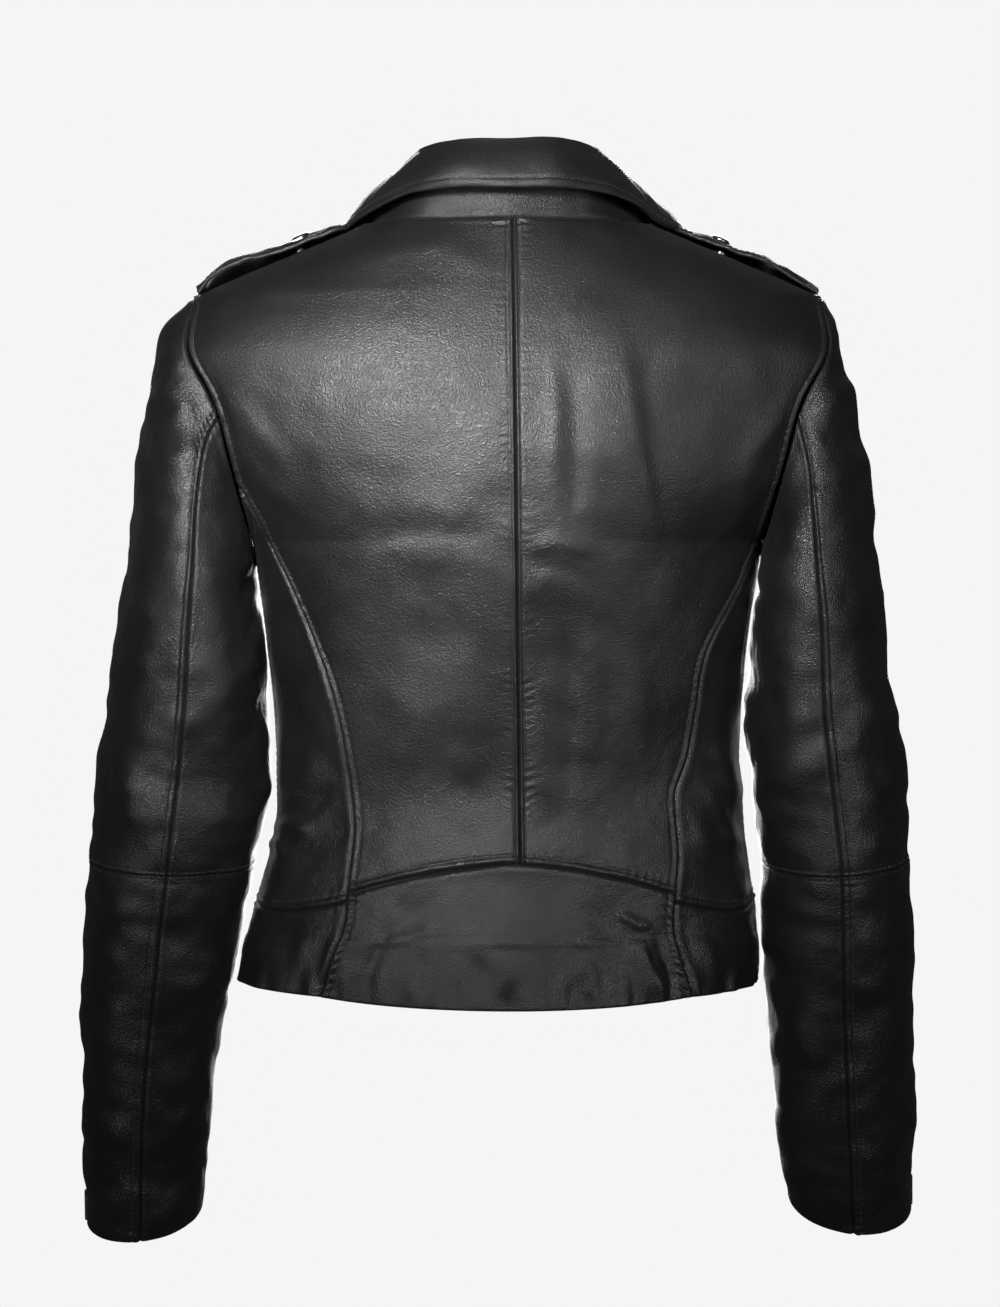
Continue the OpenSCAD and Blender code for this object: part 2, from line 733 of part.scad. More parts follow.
// Snap seat on an epaulette: the height of its upper face and its slope
module at_snap(side) {
  x = side > 0 ? snap_left_x : snap_right_x;
  bow = side > 0 ? bow_left : bow_right;
  top = shoulder_z(x) + curve(bow, x) + 1;
  tilt = atan2(shoulder_z(x + 5) + curve(bow, x + 5) - shoulder_z(x - 5) - curve(bow, x - 5), 10);
  mirror([side > 0 ? 0 : 1, 0, 0]) translate([x, -62, top]) rotate([0, -tilt, 0]) children();
}

module snap_cap() {
  color(metal_colour) rotate_extrude($fn = round_facets) polygon([
    [0, 0.1], [snap_radius, 0.1], [snap_radius, 0.8],
    for (i = [1 : 7]) [snap_radius * cos(i * 90 / 8), 0.8 + 1.9 * sin(i * 90 / 8)], [0, 2.7]
  ]);
}

module epaulette_cap_left() {
  at_snap(1) snap_cap();
}

module epaulette_cap_right() {
  at_snap(-1) snap_cap();
}

module epaulette_studs() {
  for (side = [-1, 1]) {
    x = side > 0 ? snap_left_x : snap_right_x;
    color(metal_colour) translate([side * x, -62, shoulder_z(x) + 0.4]) rotate([0, side * 22, 0]) {
      cylinder(h = 1, r = 5, $fn = round_facets);
      cylinder(h = 2.2, r = 2, $fn = round_facets);
    }
  }
}

module lapel_snaps() {
  for (side = [-1, 1]) {
    x = side * 112;
    p = torso_at(true, x, 74) - [0, leather * 1.5 + 1.6, 0];
    color(metal_colour) set_on(p, front_normal(x, 74), [0, 0, 1]) translate([0, 0, 0.2]) snap_cap();
  }
}

// ---- Sleeves ----

joint_gap = 0.03;     // gap at the elbow seam, in stations

module for_side(side) {
  mirror([side > 0 ? 0 : 1, 0, 0]) children();
}

function sleeve(side) = side > 0 ? sleeve_left : sleeve_right;

module upper_outer(side) {
  color(leather_colour) for_side(side)
    sleeve_panel(sleeve(side), 0, elbow_station - joint_gap, front_seam_angle, back_seam_angle - 0.4,
      14, 9);
}

module upper_under(side) {
  color(leather_colour) for_side(side)
    sleeve_panel(sleeve(side), 0, elbow_station - joint_gap, back_seam_angle, front_seam_angle + 359.6,
      14, 11);
}

module forearm_outer(side) {
  color(leather_colour) for_side(side)
    sleeve_panel(sleeve(side), elbow_station + joint_gap, cuff_station,
      front_seam_angle, back_seam_angle - 0.4, 8, 9);
}

module forearm_under(side) {
  color(leather_colour) for_side(side)
    sleeve_panel(sleeve(side), elbow_station + joint_gap, cuff_station,
      back_seam_angle, front_seam_angle + 359.6, 8, 11);
}

module upper_lining(side) {
  color(lining_colour) for_side(side)
    sleeve_tube(sleeve(side), 0.25, elbow_station - 0.06, 9, 3, lining);
}

module forearm_lining(side) {
  color(lining_colour) for_side(side)
    sleeve_tube(sleeve(side), elbow_station + 0.06, cuff_station - 0.25, 6, 3, lining);
}

// Station reached a given length above the cuff, close enough for the straight forearm
function zip_station(up) = cuff_station - up / 58;

module cuff_zip(side) {
  rows = sleeve(side);
  for (layer = [[7, -0.9, 0.6], [teeth_half, -2.3, 1.2]]) {
    half = layer[0];
    grid = [
      for (inset = [layer[1], layer[1] + layer[2]])
        [
          for (i = [0 : 7])
            let (k = zip_station(1 + cuff_zip_length * (1 - i / 7)))
            [for (u = [-1, 0, 1]) sleeve_point(rows, k, cuff_zip_angle + u * half * 1.25, inset)]
        ]
    ];
    color(layer[0] > 5 ? lining_colour : metal_colour) for_side(side) sheet(grid[0], grid[1], true);
  }
}

cuff_rest = 10;        // height of the slider over the cuff when the zip is closed
cuff_open = 82;

module at_cuff_slider(side) {
  rows = sleeve(side);
  low = sleeve_point(rows, zip_station(cuff_rest), cuff_zip_angle);
  high = sleeve_point(rows, zip_station(cuff_open), cuff_zip_angle);
  round_step = sleeve_point(rows, zip_station(cuff_rest), cuff_zip_angle + 4)
    - sleeve_point(rows, zip_station(cuff_rest), cuff_zip_angle - 4);
  for_side(side) set_on(low, cross(round_step, high - low), high - low) translate([0, 0, 2.4]) children();
}

module upper_sleeve_outer_left() { upper_outer(1); }
module upper_sleeve_outer_right() { upper_outer(-1); }
module upper_sleeve_under_left() { upper_under(1); }
module upper_sleeve_under_right() { upper_under(-1); }
module forearm_outer_left() { forearm_outer(1); }
module forearm_outer_right() { forearm_outer(-1); }
module forearm_under_left() { forearm_under(1); }
module forearm_under_right() { forearm_under(-1); }
module upper_lining_left() { upper_lining(1); }
module upper_lining_right() { upper_lining(-1); }
module forearm_lining_left() { forearm_lining(1); }
module forearm_lining_right() { forearm_lining(-1); }
module cuff_zip_left() { cuff_zip(1); }
module cuff_zip_right() { cuff_zip(-1); }
module cuff_slider_left() { at_cuff_slider(1) slider(); }
module cuff_slider_right() { at_cuff_slider(-1) slider(); }
module cuff_puller_left() { at_cuff_slider(1) puller(); }
module cuff_puller_right() { at_cuff_slider(-1) puller(); }

back_left();
back_right();
side_back_left();
side_back_right();
front_left();
front_right();
side_front_left();
side_front_right();
hem_back();
hem_side_left();
hem_side_right();
hem_front_left();
hem_front_right();
collar_stand();
collar_leaf();
lapel_left();
lapel_right();
neck_facing();
lining_back();
lining_front_left();
lining_front_right();
shoulder_pad_left();
shoulder_pad_right();
hanger_loop();
size_label();
front_zip_tape();
front_zip_teeth();
front_zip_slider();
front_zip_puller();
pocket_zip_left();
pocket_zip_right();
pocket_slider_left();
pocket_slider_right();
pocket_puller_left();
pocket_puller_right();
epaulette_left();
epaulette_right();
epaulette_cap_left();
epaulette_cap_right();
epaulette_studs();
lapel_snaps();
upper_sleeve_outer_left();
upper_sleeve_outer_right();
upper_sleeve_under_left();
upper_sleeve_under_right();
forearm_outer_left();
forearm_outer_right();
forearm_under_left();
forearm_under_right();
upper_lining_left();
upper_lining_right();
forearm_lining_left();
forearm_lining_right();
cuff_zip_left();
cuff_zip_right();
cuff_slider_left();
cuff_slider_right();
cuff_puller_left();
cuff_puller_right();
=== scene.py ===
"""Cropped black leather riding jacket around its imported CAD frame, seen from the back."""

import json
import math

import bpy
import numpy as np
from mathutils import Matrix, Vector

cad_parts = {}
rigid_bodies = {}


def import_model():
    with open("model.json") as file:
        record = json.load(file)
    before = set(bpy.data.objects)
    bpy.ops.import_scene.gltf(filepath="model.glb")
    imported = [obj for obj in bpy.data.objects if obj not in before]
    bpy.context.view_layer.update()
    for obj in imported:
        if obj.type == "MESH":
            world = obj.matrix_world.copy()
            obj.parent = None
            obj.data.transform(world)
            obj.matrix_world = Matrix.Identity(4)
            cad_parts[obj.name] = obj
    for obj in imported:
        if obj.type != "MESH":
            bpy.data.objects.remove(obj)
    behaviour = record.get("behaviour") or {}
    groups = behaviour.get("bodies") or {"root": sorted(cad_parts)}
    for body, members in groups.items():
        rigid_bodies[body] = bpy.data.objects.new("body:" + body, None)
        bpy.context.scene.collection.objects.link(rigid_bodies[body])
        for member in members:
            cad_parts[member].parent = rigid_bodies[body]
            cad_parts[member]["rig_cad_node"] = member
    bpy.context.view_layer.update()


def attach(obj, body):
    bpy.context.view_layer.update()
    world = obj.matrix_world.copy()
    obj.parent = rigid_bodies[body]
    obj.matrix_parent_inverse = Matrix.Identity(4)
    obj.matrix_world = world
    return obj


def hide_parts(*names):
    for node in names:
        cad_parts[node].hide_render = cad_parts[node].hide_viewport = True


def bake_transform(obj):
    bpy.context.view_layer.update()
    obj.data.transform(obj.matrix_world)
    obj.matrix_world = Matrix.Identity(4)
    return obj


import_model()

MM = 0.001

# ---------------------------------------------------------------- camera

VIEW_HEIGHT = 0.857392  # height of the view at the jacket
VIEW_CENTRE = Vector((0.0052, 0.0, -0.2876))
VIEW_DISTANCE = 3.4
SENSOR = 36.0

camera_data = bpy.data.cameras.new("camera")
camera_data.sensor_fit = "VERTICAL"
camera_data.sensor_height = SENSOR
camera_data.lens = SENSOR * VIEW_DISTANCE / VIEW_HEIGHT
camera = bpy.data.objects.new("camera", camera_data)
camera.location = VIEW_CENTRE + Vector((0, VIEW_DISTANCE, 0))
camera.rotation_euler = (math.radians(90), 0, math.radians(180))
bpy.context.scene.collection.objects.link(camera)
bpy.context.scene.camera = camera

# ---------------------------------------------------------------- pattern, in mm
# "Drop" is the distance below the neck seam. Rows are [drop, value], as the CAD model has them.

NECK_HALF, TIP_HALF, TIP_DROP = 92.0, 209.5, 50.0
UNDERARM_HALF, UNDERARM_DROP = 169.5, 214.0
ARMHOLE_HALF = 58.0
HEM_DROP = 521.0
SIDE_LEFT = [[214, 169.5], [300, 159], [360, 154.5], [385, 154], [410, 156], [450, 167], [480, 174],
             [505, 180], [525, 184]]
SIDE_RIGHT = [[214, 169.5], [300, 158], [360, 154], [385, 156], [410, 159], [450, 165], [480, 167.5],
              [505, 168.5], [525, 169]]
BACK_LINE = [[0, 0], [40, 20], [90, 38], [150, 46], [220, 41], [300, 26], [380, 13], [440, 17], [510, 22],
             [525, 23]]
FRONT_LINE = [[0, -118], [50, -130], [75, -138], [120, -160], [200, -188], [240, -190], [300, -181],
              [380, -166], [440, -172], [510, -182], [525, -184]]
MIDDLE_LINE = [[0, -62], [150, -62], [250, -66], [380, -74], [525, -74]]
BACK_SEAM_LEFT = [[176, 178], [195, 167], [217, 156], [240, 145], [272, 132], [301, 120], [328, 112],
                  [361, 106], [398, 102], [418, 103], [445, 106], [465, 107], [525, 128]]
BACK_SEAM_RIGHT = [[176, 178], [195, 172.5], [207, 168], [226, 161], [245, 153], [282, 132], [301, 127],
                   [326, 124], [357, 119], [381, 111], [418, 113], [441, 111], [467, 110], [488, 114],
                   [525, 124]]
FRONT_SEAM = [[150, 184], [180, 140], [220, 108], [300, 92], [380, 84], [445, 90], [525, 98]]
FRONT_TOP, FRONT_TOP_X, FRONT_END_X = 190.0, -30.0, 45.0
FRONT_BAND = 448.0
ZIP_HALF = 4.0

# Sleeve stations from armhole to cuff: outer x, outer z, inner x, inner z, middle y, half depth
SLEEVE_LEFT = [[210, -50, 170, -214, -62, 58], [229, -72, 168.5, -228, -62, 63],
               [241, -120, 166.5, -246, -61, 69], [249, -178, 163, -276, -60, 73],
               [258, -245, 161, -312, -60, 72], [267, -312, 158.5, -348, -60, 68],
               [274, -366, 161, -382, -62, 64], [279, -424, 170, -428, -67, 60],
               [284, -480, 180, -482, -77, 56], [287, -560, 196, -560, -98, 52],
               [287, -625, 204, -625, -117, 48], [287, -674, 208, -664, -132, 46]]
SLEEVE_RIGHT = [[210, -50, 170, -214, -62, 58], [221, -76, 168.5, -228, -62, 63],
                [231, -120, 166.5, -246, -61, 69], [241, -178, 163, -276, -60, 72],
                [251, -245, 160.5, -308, -60, 70], [257, -312, 158.5, -342, -60, 66],
                [264, -370, 163, -382, -62, 62], [269, -424, 170, -428, -67, 59],
                [272, -480, 171.5, -482, -77, 56], [273.5, -560, 178, -560, -98, 52],
                [274, -625, 186, -625, -117, 48], [275, -664, 191, -656, -132, 46]]
ELBOW, CUFF = 7.0, 11.0
FRONT_SLEEVE_SEAM, BACK_SLEEVE_SEAM = -62.0, 90.0

COLLAR_SEAM = [[0, 0, 1], [38, -5, 1], [70, -23, 1], [89, -58, 1], [80, -95, -5], [73.5, -113, -20],
               [61.5, -125, -40]]
COLLAR_FOLD = [[0, -3, 50], [30, -8, 50], [56, -27, 46], [69, -60, 38], [68, -90, 24], [62, -111, 4],
               [53, -122, -18]]
COLLAR_EDGE = [[0, 10, 17], [36, 6, 17], [72, -14, 13], [104, -52, 3], [111, -88, -2], [104, -120, -26],
               [90, -138, -50]]


def mix(a, b, t):
    return a + (b - a) * t


def smooth(t):
    t = np.clip(t, 0, 1)
    return t * t * (3 - 2 * t)


def bump(x, centre, width):
    """A round hill of height 1."""
    return np.exp(-(((x - centre) / width) ** 2))


def hermite(p0, p1, m0, m1, t):
    return ((2 * t**3 - 3 * t**2 + 1) * p0 + (t**3 - 2 * t**2 + t) * m0
            + (3 * t**2 - 2 * t**3) * p1 + (t**3 - t**2) * m1)


def curve(rows, key):
    """Value on the smooth curve through [key, value] rows, for an array of keys."""
    rows = np.array(rows, float)
    k, v = rows[:, 0], rows[:, 1]
    last = len(k) - 1
    before = np.maximum(np.arange(last + 1) - 1, 0)
    after = np.minimum(np.arange(last + 1) + 1, last)
    slope = (v[after] - v[before]) / (k[after] - k[before])
    key = np.asarray(key, float)
    i = np.clip(np.searchsorted(k, key, side="right") - 1, 0, last - 1)
    step = k[i + 1] - k[i]
    t = np.clip((key - k[i]) / step, 0, 1)
    return hermite(v[i], v[i + 1], slope[i] * step, slope[i + 1] * step, t)


def station(rows, k):
    """Rows of a sleeve or collar table at the station numbers k, smoothly between them."""
    rows = np.array(rows, float)
    last = len(rows) - 1
    k = np.asarray(k, float)
    i = np.clip(np.floor(k).astype(int), 0, last - 1)
    t = np.clip(k - i, 0, 1)[..., None]
    p0, p1 = rows[i], rows[i + 1]
    m0 = (p1 - rows[np.maximum(i - 1, 0)]) / np.where(i == 0, 1, 2)[..., None]
    m1 = (rows[np.minimum(i + 2, last)] - p0) / np.where(i == last - 1, 1, 2)[..., None]
    return hermite(p0, p1, m0, m1, t)


# ---------------------------------------------------------------- the body of the jacket

ARMHOLE_MIDDLE = (TIP_DROP + UNDERARM_DROP) / 2
ARMHOLE_HIGH = (UNDERARM_DROP - TIP_DROP) / 2


def armhole_bow(drop):
    """How far the armhole seam stands out from a flat cut at its upper back."""
    return 10.5 * bump(drop, 88, 25) * smooth((drop - 48) / 20)


def edge_x(side, drop):
    drop = np.asarray(drop, float)
    shoulder = mix(NECK_HALF, TIP_HALF, drop / TIP_DROP)
    arm = mix(TIP_HALF, UNDERARM_HALF, (drop - TIP_DROP) / (UNDERARM_DROP - TIP_DROP)) + armhole_bow(drop)
    low = np.where(side > 0, curve(SIDE_LEFT, drop), curve(SIDE_RIGHT, drop))
    return np.where(drop < TIP_DROP, shoulder, np.where(drop < UNDERARM_DROP, arm, low))


def armhole_y(drop):
    t = (np.asarray(drop, float) - ARMHOLE_MIDDLE) / ARMHOLE_HIGH
    return ARMHOLE_HALF * np.sqrt(np.maximum(0, 1 - t * t))


def depth(front, drop):
    middle = curve(MIDDLE_LINE, drop)
    return np.where(front, middle - curve(FRONT_LINE, drop), curve(BACK_LINE, drop) - middle)


def full_angle(front, drop, inset=0.0):
    deep = depth(front, drop) - inset
    return np.arccos(np.minimum(armhole_y(drop), deep * 0.97) / deep)


def share(front, x, drop):
    side = np.where(np.asarray(x) < 0, -1.0, 1.0)
    most = full_angle(front, drop)
    return side * np.arcsin(np.minimum(1, np.abs(x) / edge_x(side, drop) * np.sin(most))) / most


def torso(u, drop, inset=0.0):
    """Point on the body: u runs 0 at the middle of the back, 1 at the left side and 2 at the front."""
    u, drop = np.broadcast_arrays(np.asarray(u, float), np.asarray(drop, float))
    front = np.abs(u) > 1
    part = np.where(front, np.sign(u) * (2 - np.abs(u)), u)
    side = np.where(part < 0, -1.0, 1.0)
    wide = edge_x(side, drop) - inset
    deep = depth(front, drop) - inset
    most = full_angle(front, drop, inset)
    a = np.abs(part) * most
    x = side * wide * np.sin(a) / np.sin(most)
    y = curve(MIDDLE_LINE, drop) + np.where(front, -1, 1) * deep * np.cos(a)
    z = -drop - inset * (1 - smooth((drop - 60) / 60))
    return np.stack([x, y, z], -1)


def back_u(x):
    """u of a place across the back."""
    return lambda drop: share(False, x(drop) if callable(x) else x, drop)


def front_u(x, side):
    return lambda drop: side * (2 - side * share(True, x(drop) if callable(x) else x, drop))


# ---------------------------------------------------------------- sleeves


def sleeve_surface(rows, side):
    def surface(angle, k, inset=0.0):
        angle, k = np.broadcast_arrays(np.asarray(angle, float), np.asarray(k, float))
        r, near, far = station(rows, k), station(rows, k - 0.4), station(rows, k + 0.4)
        lean = np.arctan2(near[..., 4] - far[..., 4],
                          (near[..., 1] + near[..., 3] - far[..., 1] - far[..., 3]) / 2)
        lean = lean * smooth((k - 4) / 3)
        hx, hz = (r[..., 0] - r[..., 2]) / 2, (r[..., 1] - r[..., 3]) / 2
        size = np.hypot(hx, hz)
        c, s = np.cos(np.radians(angle)), np.sin(np.radians(angle))
        grow = (size - inset) / size * c
        deep = (r[..., 5] - inset) * s
        x = (r[..., 0] + r[..., 2]) / 2 + hx * grow
        y = r[..., 4] + deep * np.cos(lean)
        z = (r[..., 1] + r[..., 3]) / 2 + hz * grow - deep * np.sin(lean)
        x = x + armhole_bow(-z) * (1 - smooth(k / 1.6)) * smooth(s * 4)
        return np.stack([side * x, y, z], -1)
    return surface


# ---------------------------------------------------------------- folds and seams


class Waves:
    """Smooth random hills made of plane waves, the same on every run."""

    def __init__(self, seed, size, stretch=(1, 1, 1), count=28):
        rng = np.random.default_rng(seed)
        direction = rng.normal(size=(count, 3))
        direction /= np.linalg.norm(direction, axis=1)[:, None]
        self.k = direction * (2 * np.pi / size) * rng.uniform(0.6, 1.5, (count, 1)) / np.array(stretch)
        self.phase = rng.uniform(0, 2 * np.pi, count)

    def __call__(self, p):
        return np.sin(p @ self.k.T + self.phase).sum(-1) / math.sqrt(len(self.phase) / 2)


def along(points, path):
    """(signed distance to a path, place along it from 0 to 1) in the plane, for an array of 2-D points."""
    path = np.array(path, float)
    lengths = np.linalg.norm(np.diff(path, axis=0), axis=1)
    total, best, place, sign = lengths.sum(), None, None, None
    start = 0.0
    for a, b, length in zip(path[:-1], path[1:], lengths):
        d = b - a
        t = np.clip(((points - a) @ d) / (length * length), 0, 1)
        off = points - (a + t[..., None] * d)
        far = np.linalg.norm(off, axis=-1)
        turn = np.sign(d[0] * off[..., 1] - d[1] * off[..., 0])
        if best is None:
            best, place, sign = far, start + t * length, turn
        else:
            nearer = far < best
            best = np.where(nearer, far, best)
            place = np.where(nearer, start + t * length, place)
            sign = np.where(nearer, turn, sign)
        start += length
    return best * sign, place / total


def fold(points, path, high, left, right):
    """A ridge (or a valley, if high is below 0) along a path, as wide as left and right on its two sides."""
    off, place = along(points, path)
    wide = np.where(off > 0, left, right)
    ends = smooth(place / 0.32) * smooth((1 - place) / 0.32)
    return high * np.exp(-((off / wide) ** 2)) * ends


# Folds of the back, in the plane seen from behind (x, z): path, height, width to one side and the other
BACK_FOLDS = [
    ([(-66, -48), (-74, -90), (-82, -150), (-92, -205), (-98, -240)], 2.6, 26, 9),
    ([(-60, -52), (-48, -66), (-30, -70)], 1.0, 7, 8),
    ([(-28, -80), (-30, -130), (-29, -190)], 0.9, 5, 6),
    ([(-42, -90), (-44, -150), (-40, -215)], -0.7, 6, 8),
    ([(95, -212), (55, -208), (2, -211)], -0.8, 7, 10),
    ([(-8, -222), (-28, -216), (-62, -222)], 0.8, 5, 6),
    ([(-8, -230), (-30, -232), (-52, -238)], -0.5, 5, 6),
    ([(112, -36), (70, -24), (20, -18)], 1.0, 6, 9),
    ([(108, -48), (60, -40), (6, -40)], -0.7, 6, 8),
    ([(-40, -26), (-80, -42), (-120, -66)], 0.9, 8, 7),
    ([(196, -112), (176, -128), (150, -160), (140, -185)], 1.4, 12, 8),
    ([(186, -142), (160, -176), (128, -200)], 1.2, 9, 7),
    ([(-196, -120), (-172, -140), (-152, -176), (-146, -205)], 2.0, 10, 8),
    ([(-186, -150), (-150, -196), (-122, -232)], 1.2, 10, 8),
    ([(-20, -250), (-26, -300), (-22, -360), (-28, -410)], 1.1, 8, 7),
    ([(-48, -256), (-56, -310), (-54, -372)], 1.2, 10, 8),
    ([(-38, -262), (-42, -330), (-40, -400)], -1.0, 7, 7),
    ([(-84, -250), (-84, -320), (-92, -400)], 1.0, 12, 10),
    ([(22, -240), (28, -300), (22, -380)], 0.8, 12, 9),
    ([(70, -250), (66, -320), (60, -400)], 0.8, 16, 12),
    ([(128, -350), (134, -372), (146, -392)], 2.0, 6, 9),
    ([(-134, -344), (-146, -366), (-154, -392)], 2.6, 6, 8),
    ([(-128, -366), (-142, -396), (-156, -424)], 1.8, 5, 7),
    ([(128, -408), (142, -400), (158, -406)], 2.0, 4, 6),
    ([(146, -424), (152, -414), (166, -418)], 2.2, 4, 4),
    ([(-118, -404), (-136, -412), (-160, -408)], 1.4, 6, 5),
    ([(112, -372), (128, -388), (150, -402)], -1.2, 5, 5),
]

# Folds of the band at the hem, in the same plane
HEM_FOLDS = [
    ([(96, -476), (74, -475), (41, -468)], 1.8, 4, 5),
    ([(76, -462), (84, -478), (92, -500)], -1.6, 4, 5),
    ([(34, -474), (-10, -475), (-60, -475), (-86, -470)], 1.5, 4, 12),
    ([(-70, -456), (-86, -466), (-97, -466)], 2.2, 3, 4),
    ([(-86, -471), (-91, -490), (-104, -516)], 3.0, 9, 3),
    ([(-96, -466), (-102, -486), (-112, -512)], -2.0, 4, 5),
    ([(20, -482), (18, -500), (22, -518)], -1.3, 4, 5),
    ([(-24, -480), (-27, -500), (-24, -518)], -1.1, 5, 4),
    ([(0, -484), (-2, -518)], 1.0, 5, 5),
    ([(54, -480), (58, -500), (52, -518)], -1.2, 5, 4),
    ([(-52, -484), (-50, -518)], 0.9, 5, 5),
    ([(110, -470), (116, -488), (124, -506)], 2.0, 4, 6),
    ([(132, -466), (136, -486), (140, -506)], 1.2, 5, 5),
    ([(-128, -470), (-134, -490), (-138, -512)], 1.5, 6, 5),
]

big_hills = Waves(3, 95)
small_hills = Waves(5, 38)
fine_hills = Waves(8, 15)
edge_hills = Waves(11, 9)


def torso_height(p, u, drop):
    """Folds of the leather over the body, in mm."""
    flat = p[..., [0, 2]]
    back = 1 - smooth((np.abs(u) - 0.9) / 0.2)
    high = np.zeros(p.shape[:-1])
    for path, tall, left, right in BACK_FOLDS:
        high = high + fold(flat, path, tall, left, right)
    high = high * back * 1.3
    band = smooth((drop - 436) / 14)
    hem = np.zeros(p.shape[:-1])
    for path, tall, left, right in HEM_FOLDS:
        hem = hem + fold(flat, path, tall, left, right)
    turned = smooth((drop - 473) / 5)
    gathers = smooth((drop - 486) / 25) * fine_hills(p * [1.0, 1.0, 0.25]) * 0.8
    calm = 0.55 + 0.45 * smooth((drop - 330) / 80)
    high = high * (1 - band) + (hem * back + turned + gathers) * band
    high = high + calm * big_hills(p) + 0.4 * calm * small_hills(p) + 0.1 * calm * fine_hills(p)
    quiet = 0.35 + 0.65 * smooth((np.abs(drop - 60) - 10) / 60)
    return high * np.where(np.abs(u) > 0.93, 0.5, 1) * quiet


sleeve_hills = Waves(21, 70, (1.5, 1.5, 1))
sleeve_small = Waves(22, 30, (1.4, 1.4, 0.8))

# Folds of the sleeves in the plane seen from behind, as on the wearer's left (x, z)
SLEEVE_FOLDS_LEFT = [
    ([(202, -128), (216, -122), (236, -112)], 2.2, 8, 7),
    ([(200, -150), (216, -160), (238, -150)], 1.6, 9, 8),
    ([(196, -205), (178, -215), (162, -240)], 2.0, 9, 8),
    ([(246, -210), (236, -270), (242, -330)], 1.6, 14, 10),
    ([(196, -240), (186, -280), (190, -330)], 1.2, 12, 10),
    ([(252, -352), (246, -384), (254, -404)], 2.4, 9, 8),
    ([(268, -345), (262, -390), (256, -410)], -1.6, 6, 6),
    ([(190, -380), (186, -396), (204, -402)], 1.2, 9, 7),
    ([(278, -470), (264, -520), (270, -590)], 1.4, 12, 10),
    ([(252, -440), (262, -490), (256, -540)], 1.0, 14, 10),
    ([(284, -616), (272, -624), (262, -630)], 1.8, 6, 6),
    ([(284, -640), (268, -648), (254, -646)], -1.2, 6, 6),
    ([(200, -560), (212, -600), (206, -630)], 1.2, 8, 8),
]
SLEEVE_FOLDS_RIGHT = [
    ([(200, -134), (216, -118), (232, -104)], 3.4, 8, 9),
    ([(204, -150), (216, -142), (232, -138)], -1.8, 8, 7),
    ([(206, -172), (220, -166), (240, -150)], 1.6, 8, 8),
    ([(196, -206), (180, -222), (168, -250)], 2.2, 9, 9),
    ([(246, -330), (252, -360), (262, -390)], 2.6, 9, 8),
    ([(240, -300), (232, -340), (236, -390)], 1.5, 14, 10),
    ([(184, -300), (192, -350), (182, -400)], 1.4, 12, 10),
    ([(206, -470), (200, -540), (206, -590)], 1.4, 16, 12),
    ([(180, -590), (190, -620), (196, -650)], 1.8, 9, 9),
    ([(262, -470), (258, -540), (264, -610)], 1.2, 12, 10),
    ([(250, -630), (260, -645), (272, -650)], 1.6, 6, 7),
    ([(250, -652), (262, -660), (273, -660)], -1.0, 5, 5),
]


def sleeve_height(folds, side):
    def height(p, angle, k):
        q = p * [side, 1, 1]
        back = smooth(np.sin(np.radians(angle)) * 2 + 0.9)
        flat = q[..., [0, 2]]
        high = np.zeros(p.shape[:-1])
        for path, tall, left, right in folds:
            high = high + fold(flat, path, tall, left, right)
        high = high * back * smooth((k - 0.1) / 0.5)
        quiet = smooth(k / 1.2) * (1 - 0.4 * smooth((k - 10) / 1))
        wander = 1.5 * np.sin(q[..., 0] / 14)
        crease = 1.4 * (1 - back) * bump(k, ELBOW, 0.7) * np.sin(q[..., 2] * 2 * np.pi / 19 + wander)
        return high + quiet * (1.2 * sleeve_hills(p) + 0.45 * sleeve_small(p) + 0.1 * fine_hills(p)) + crease
    return height


# ---------------------------------------------------------------- meshes

STITCH_LENGTH, STITCH_PITCH, STITCH_HALF = 3.0, 4.0, 0.36


def capsule(length, half, high):
    """Rings of a short thread stitch lying along X, as points and quads."""
    places = [(-0.5, 0.25, -0.45), (-0.36, 0.85, 0.05), (0.0, 1.0, 0.4), (0.36, 0.85, 0.05),
              (0.5, 0.25, -0.45)]
    ring = [(math.cos(math.radians(a)), math.sin(math.radians(a))) for a in range(0, 360, 60)]
    points = [(x * length, c * half * w, s * high * w + lift * high)
              for x, w, lift in places for c, s in ring]
    quads = []
    for r in range(len(places) - 1):
        for j in range(6):
            n = (j + 1) % 6
            quads.append((r * 6 + j, r * 6 + n, r * 6 + 6 + n, r * 6 + 6 + j))
    quads.append((5, 4, 3, 2))
    quads.append((5, 2, 1, 0))
    top = (len(places) - 1) * 6
    quads.append((top, top + 1, top + 2, top + 3))
    quads.append((top, top + 3, top + 4, top + 5))
    return np.array(points), np.array(quads)


STITCH_POINTS, STITCH_QUADS = capsule(STITCH_LENGTH, STITCH_HALF, 0.42)


def unit(v):
    return v / np.maximum(np.linalg.norm(v, axis=-1, keepdims=True), 1e-9)


def resample(path, normals, pitch, start=0.5):
    """Places every pitch along a path, with the line's direction and the normal there."""
    step = np.linalg.norm(np.diff(path, axis=0), axis=1)
    s = np.concatenate([[0], np.cumsum(step)])
    count = int((s[-1] - pitch * start) / pitch)
    if count < 1:
        return np.zeros((0, 3)), np.zeros((0, 3)), np.zeros((0, 3))
    at = pitch * (start + np.arange(count))
    place = np.stack([np.interp(at, s, path[:, c]) for c in range(3)], -1)
    ahead = np.stack([np.interp(at + 1, s, path[:, c]) for c in range(3)], -1)
    behind = np.stack([np.interp(at - 1, s, path[:, c]) for c in range(3)], -1)
    normal = unit(np.stack([np.interp(at, s, normals[:, c]) for c in range(3)], -1))
    return place, unit(ahead - behind), normal


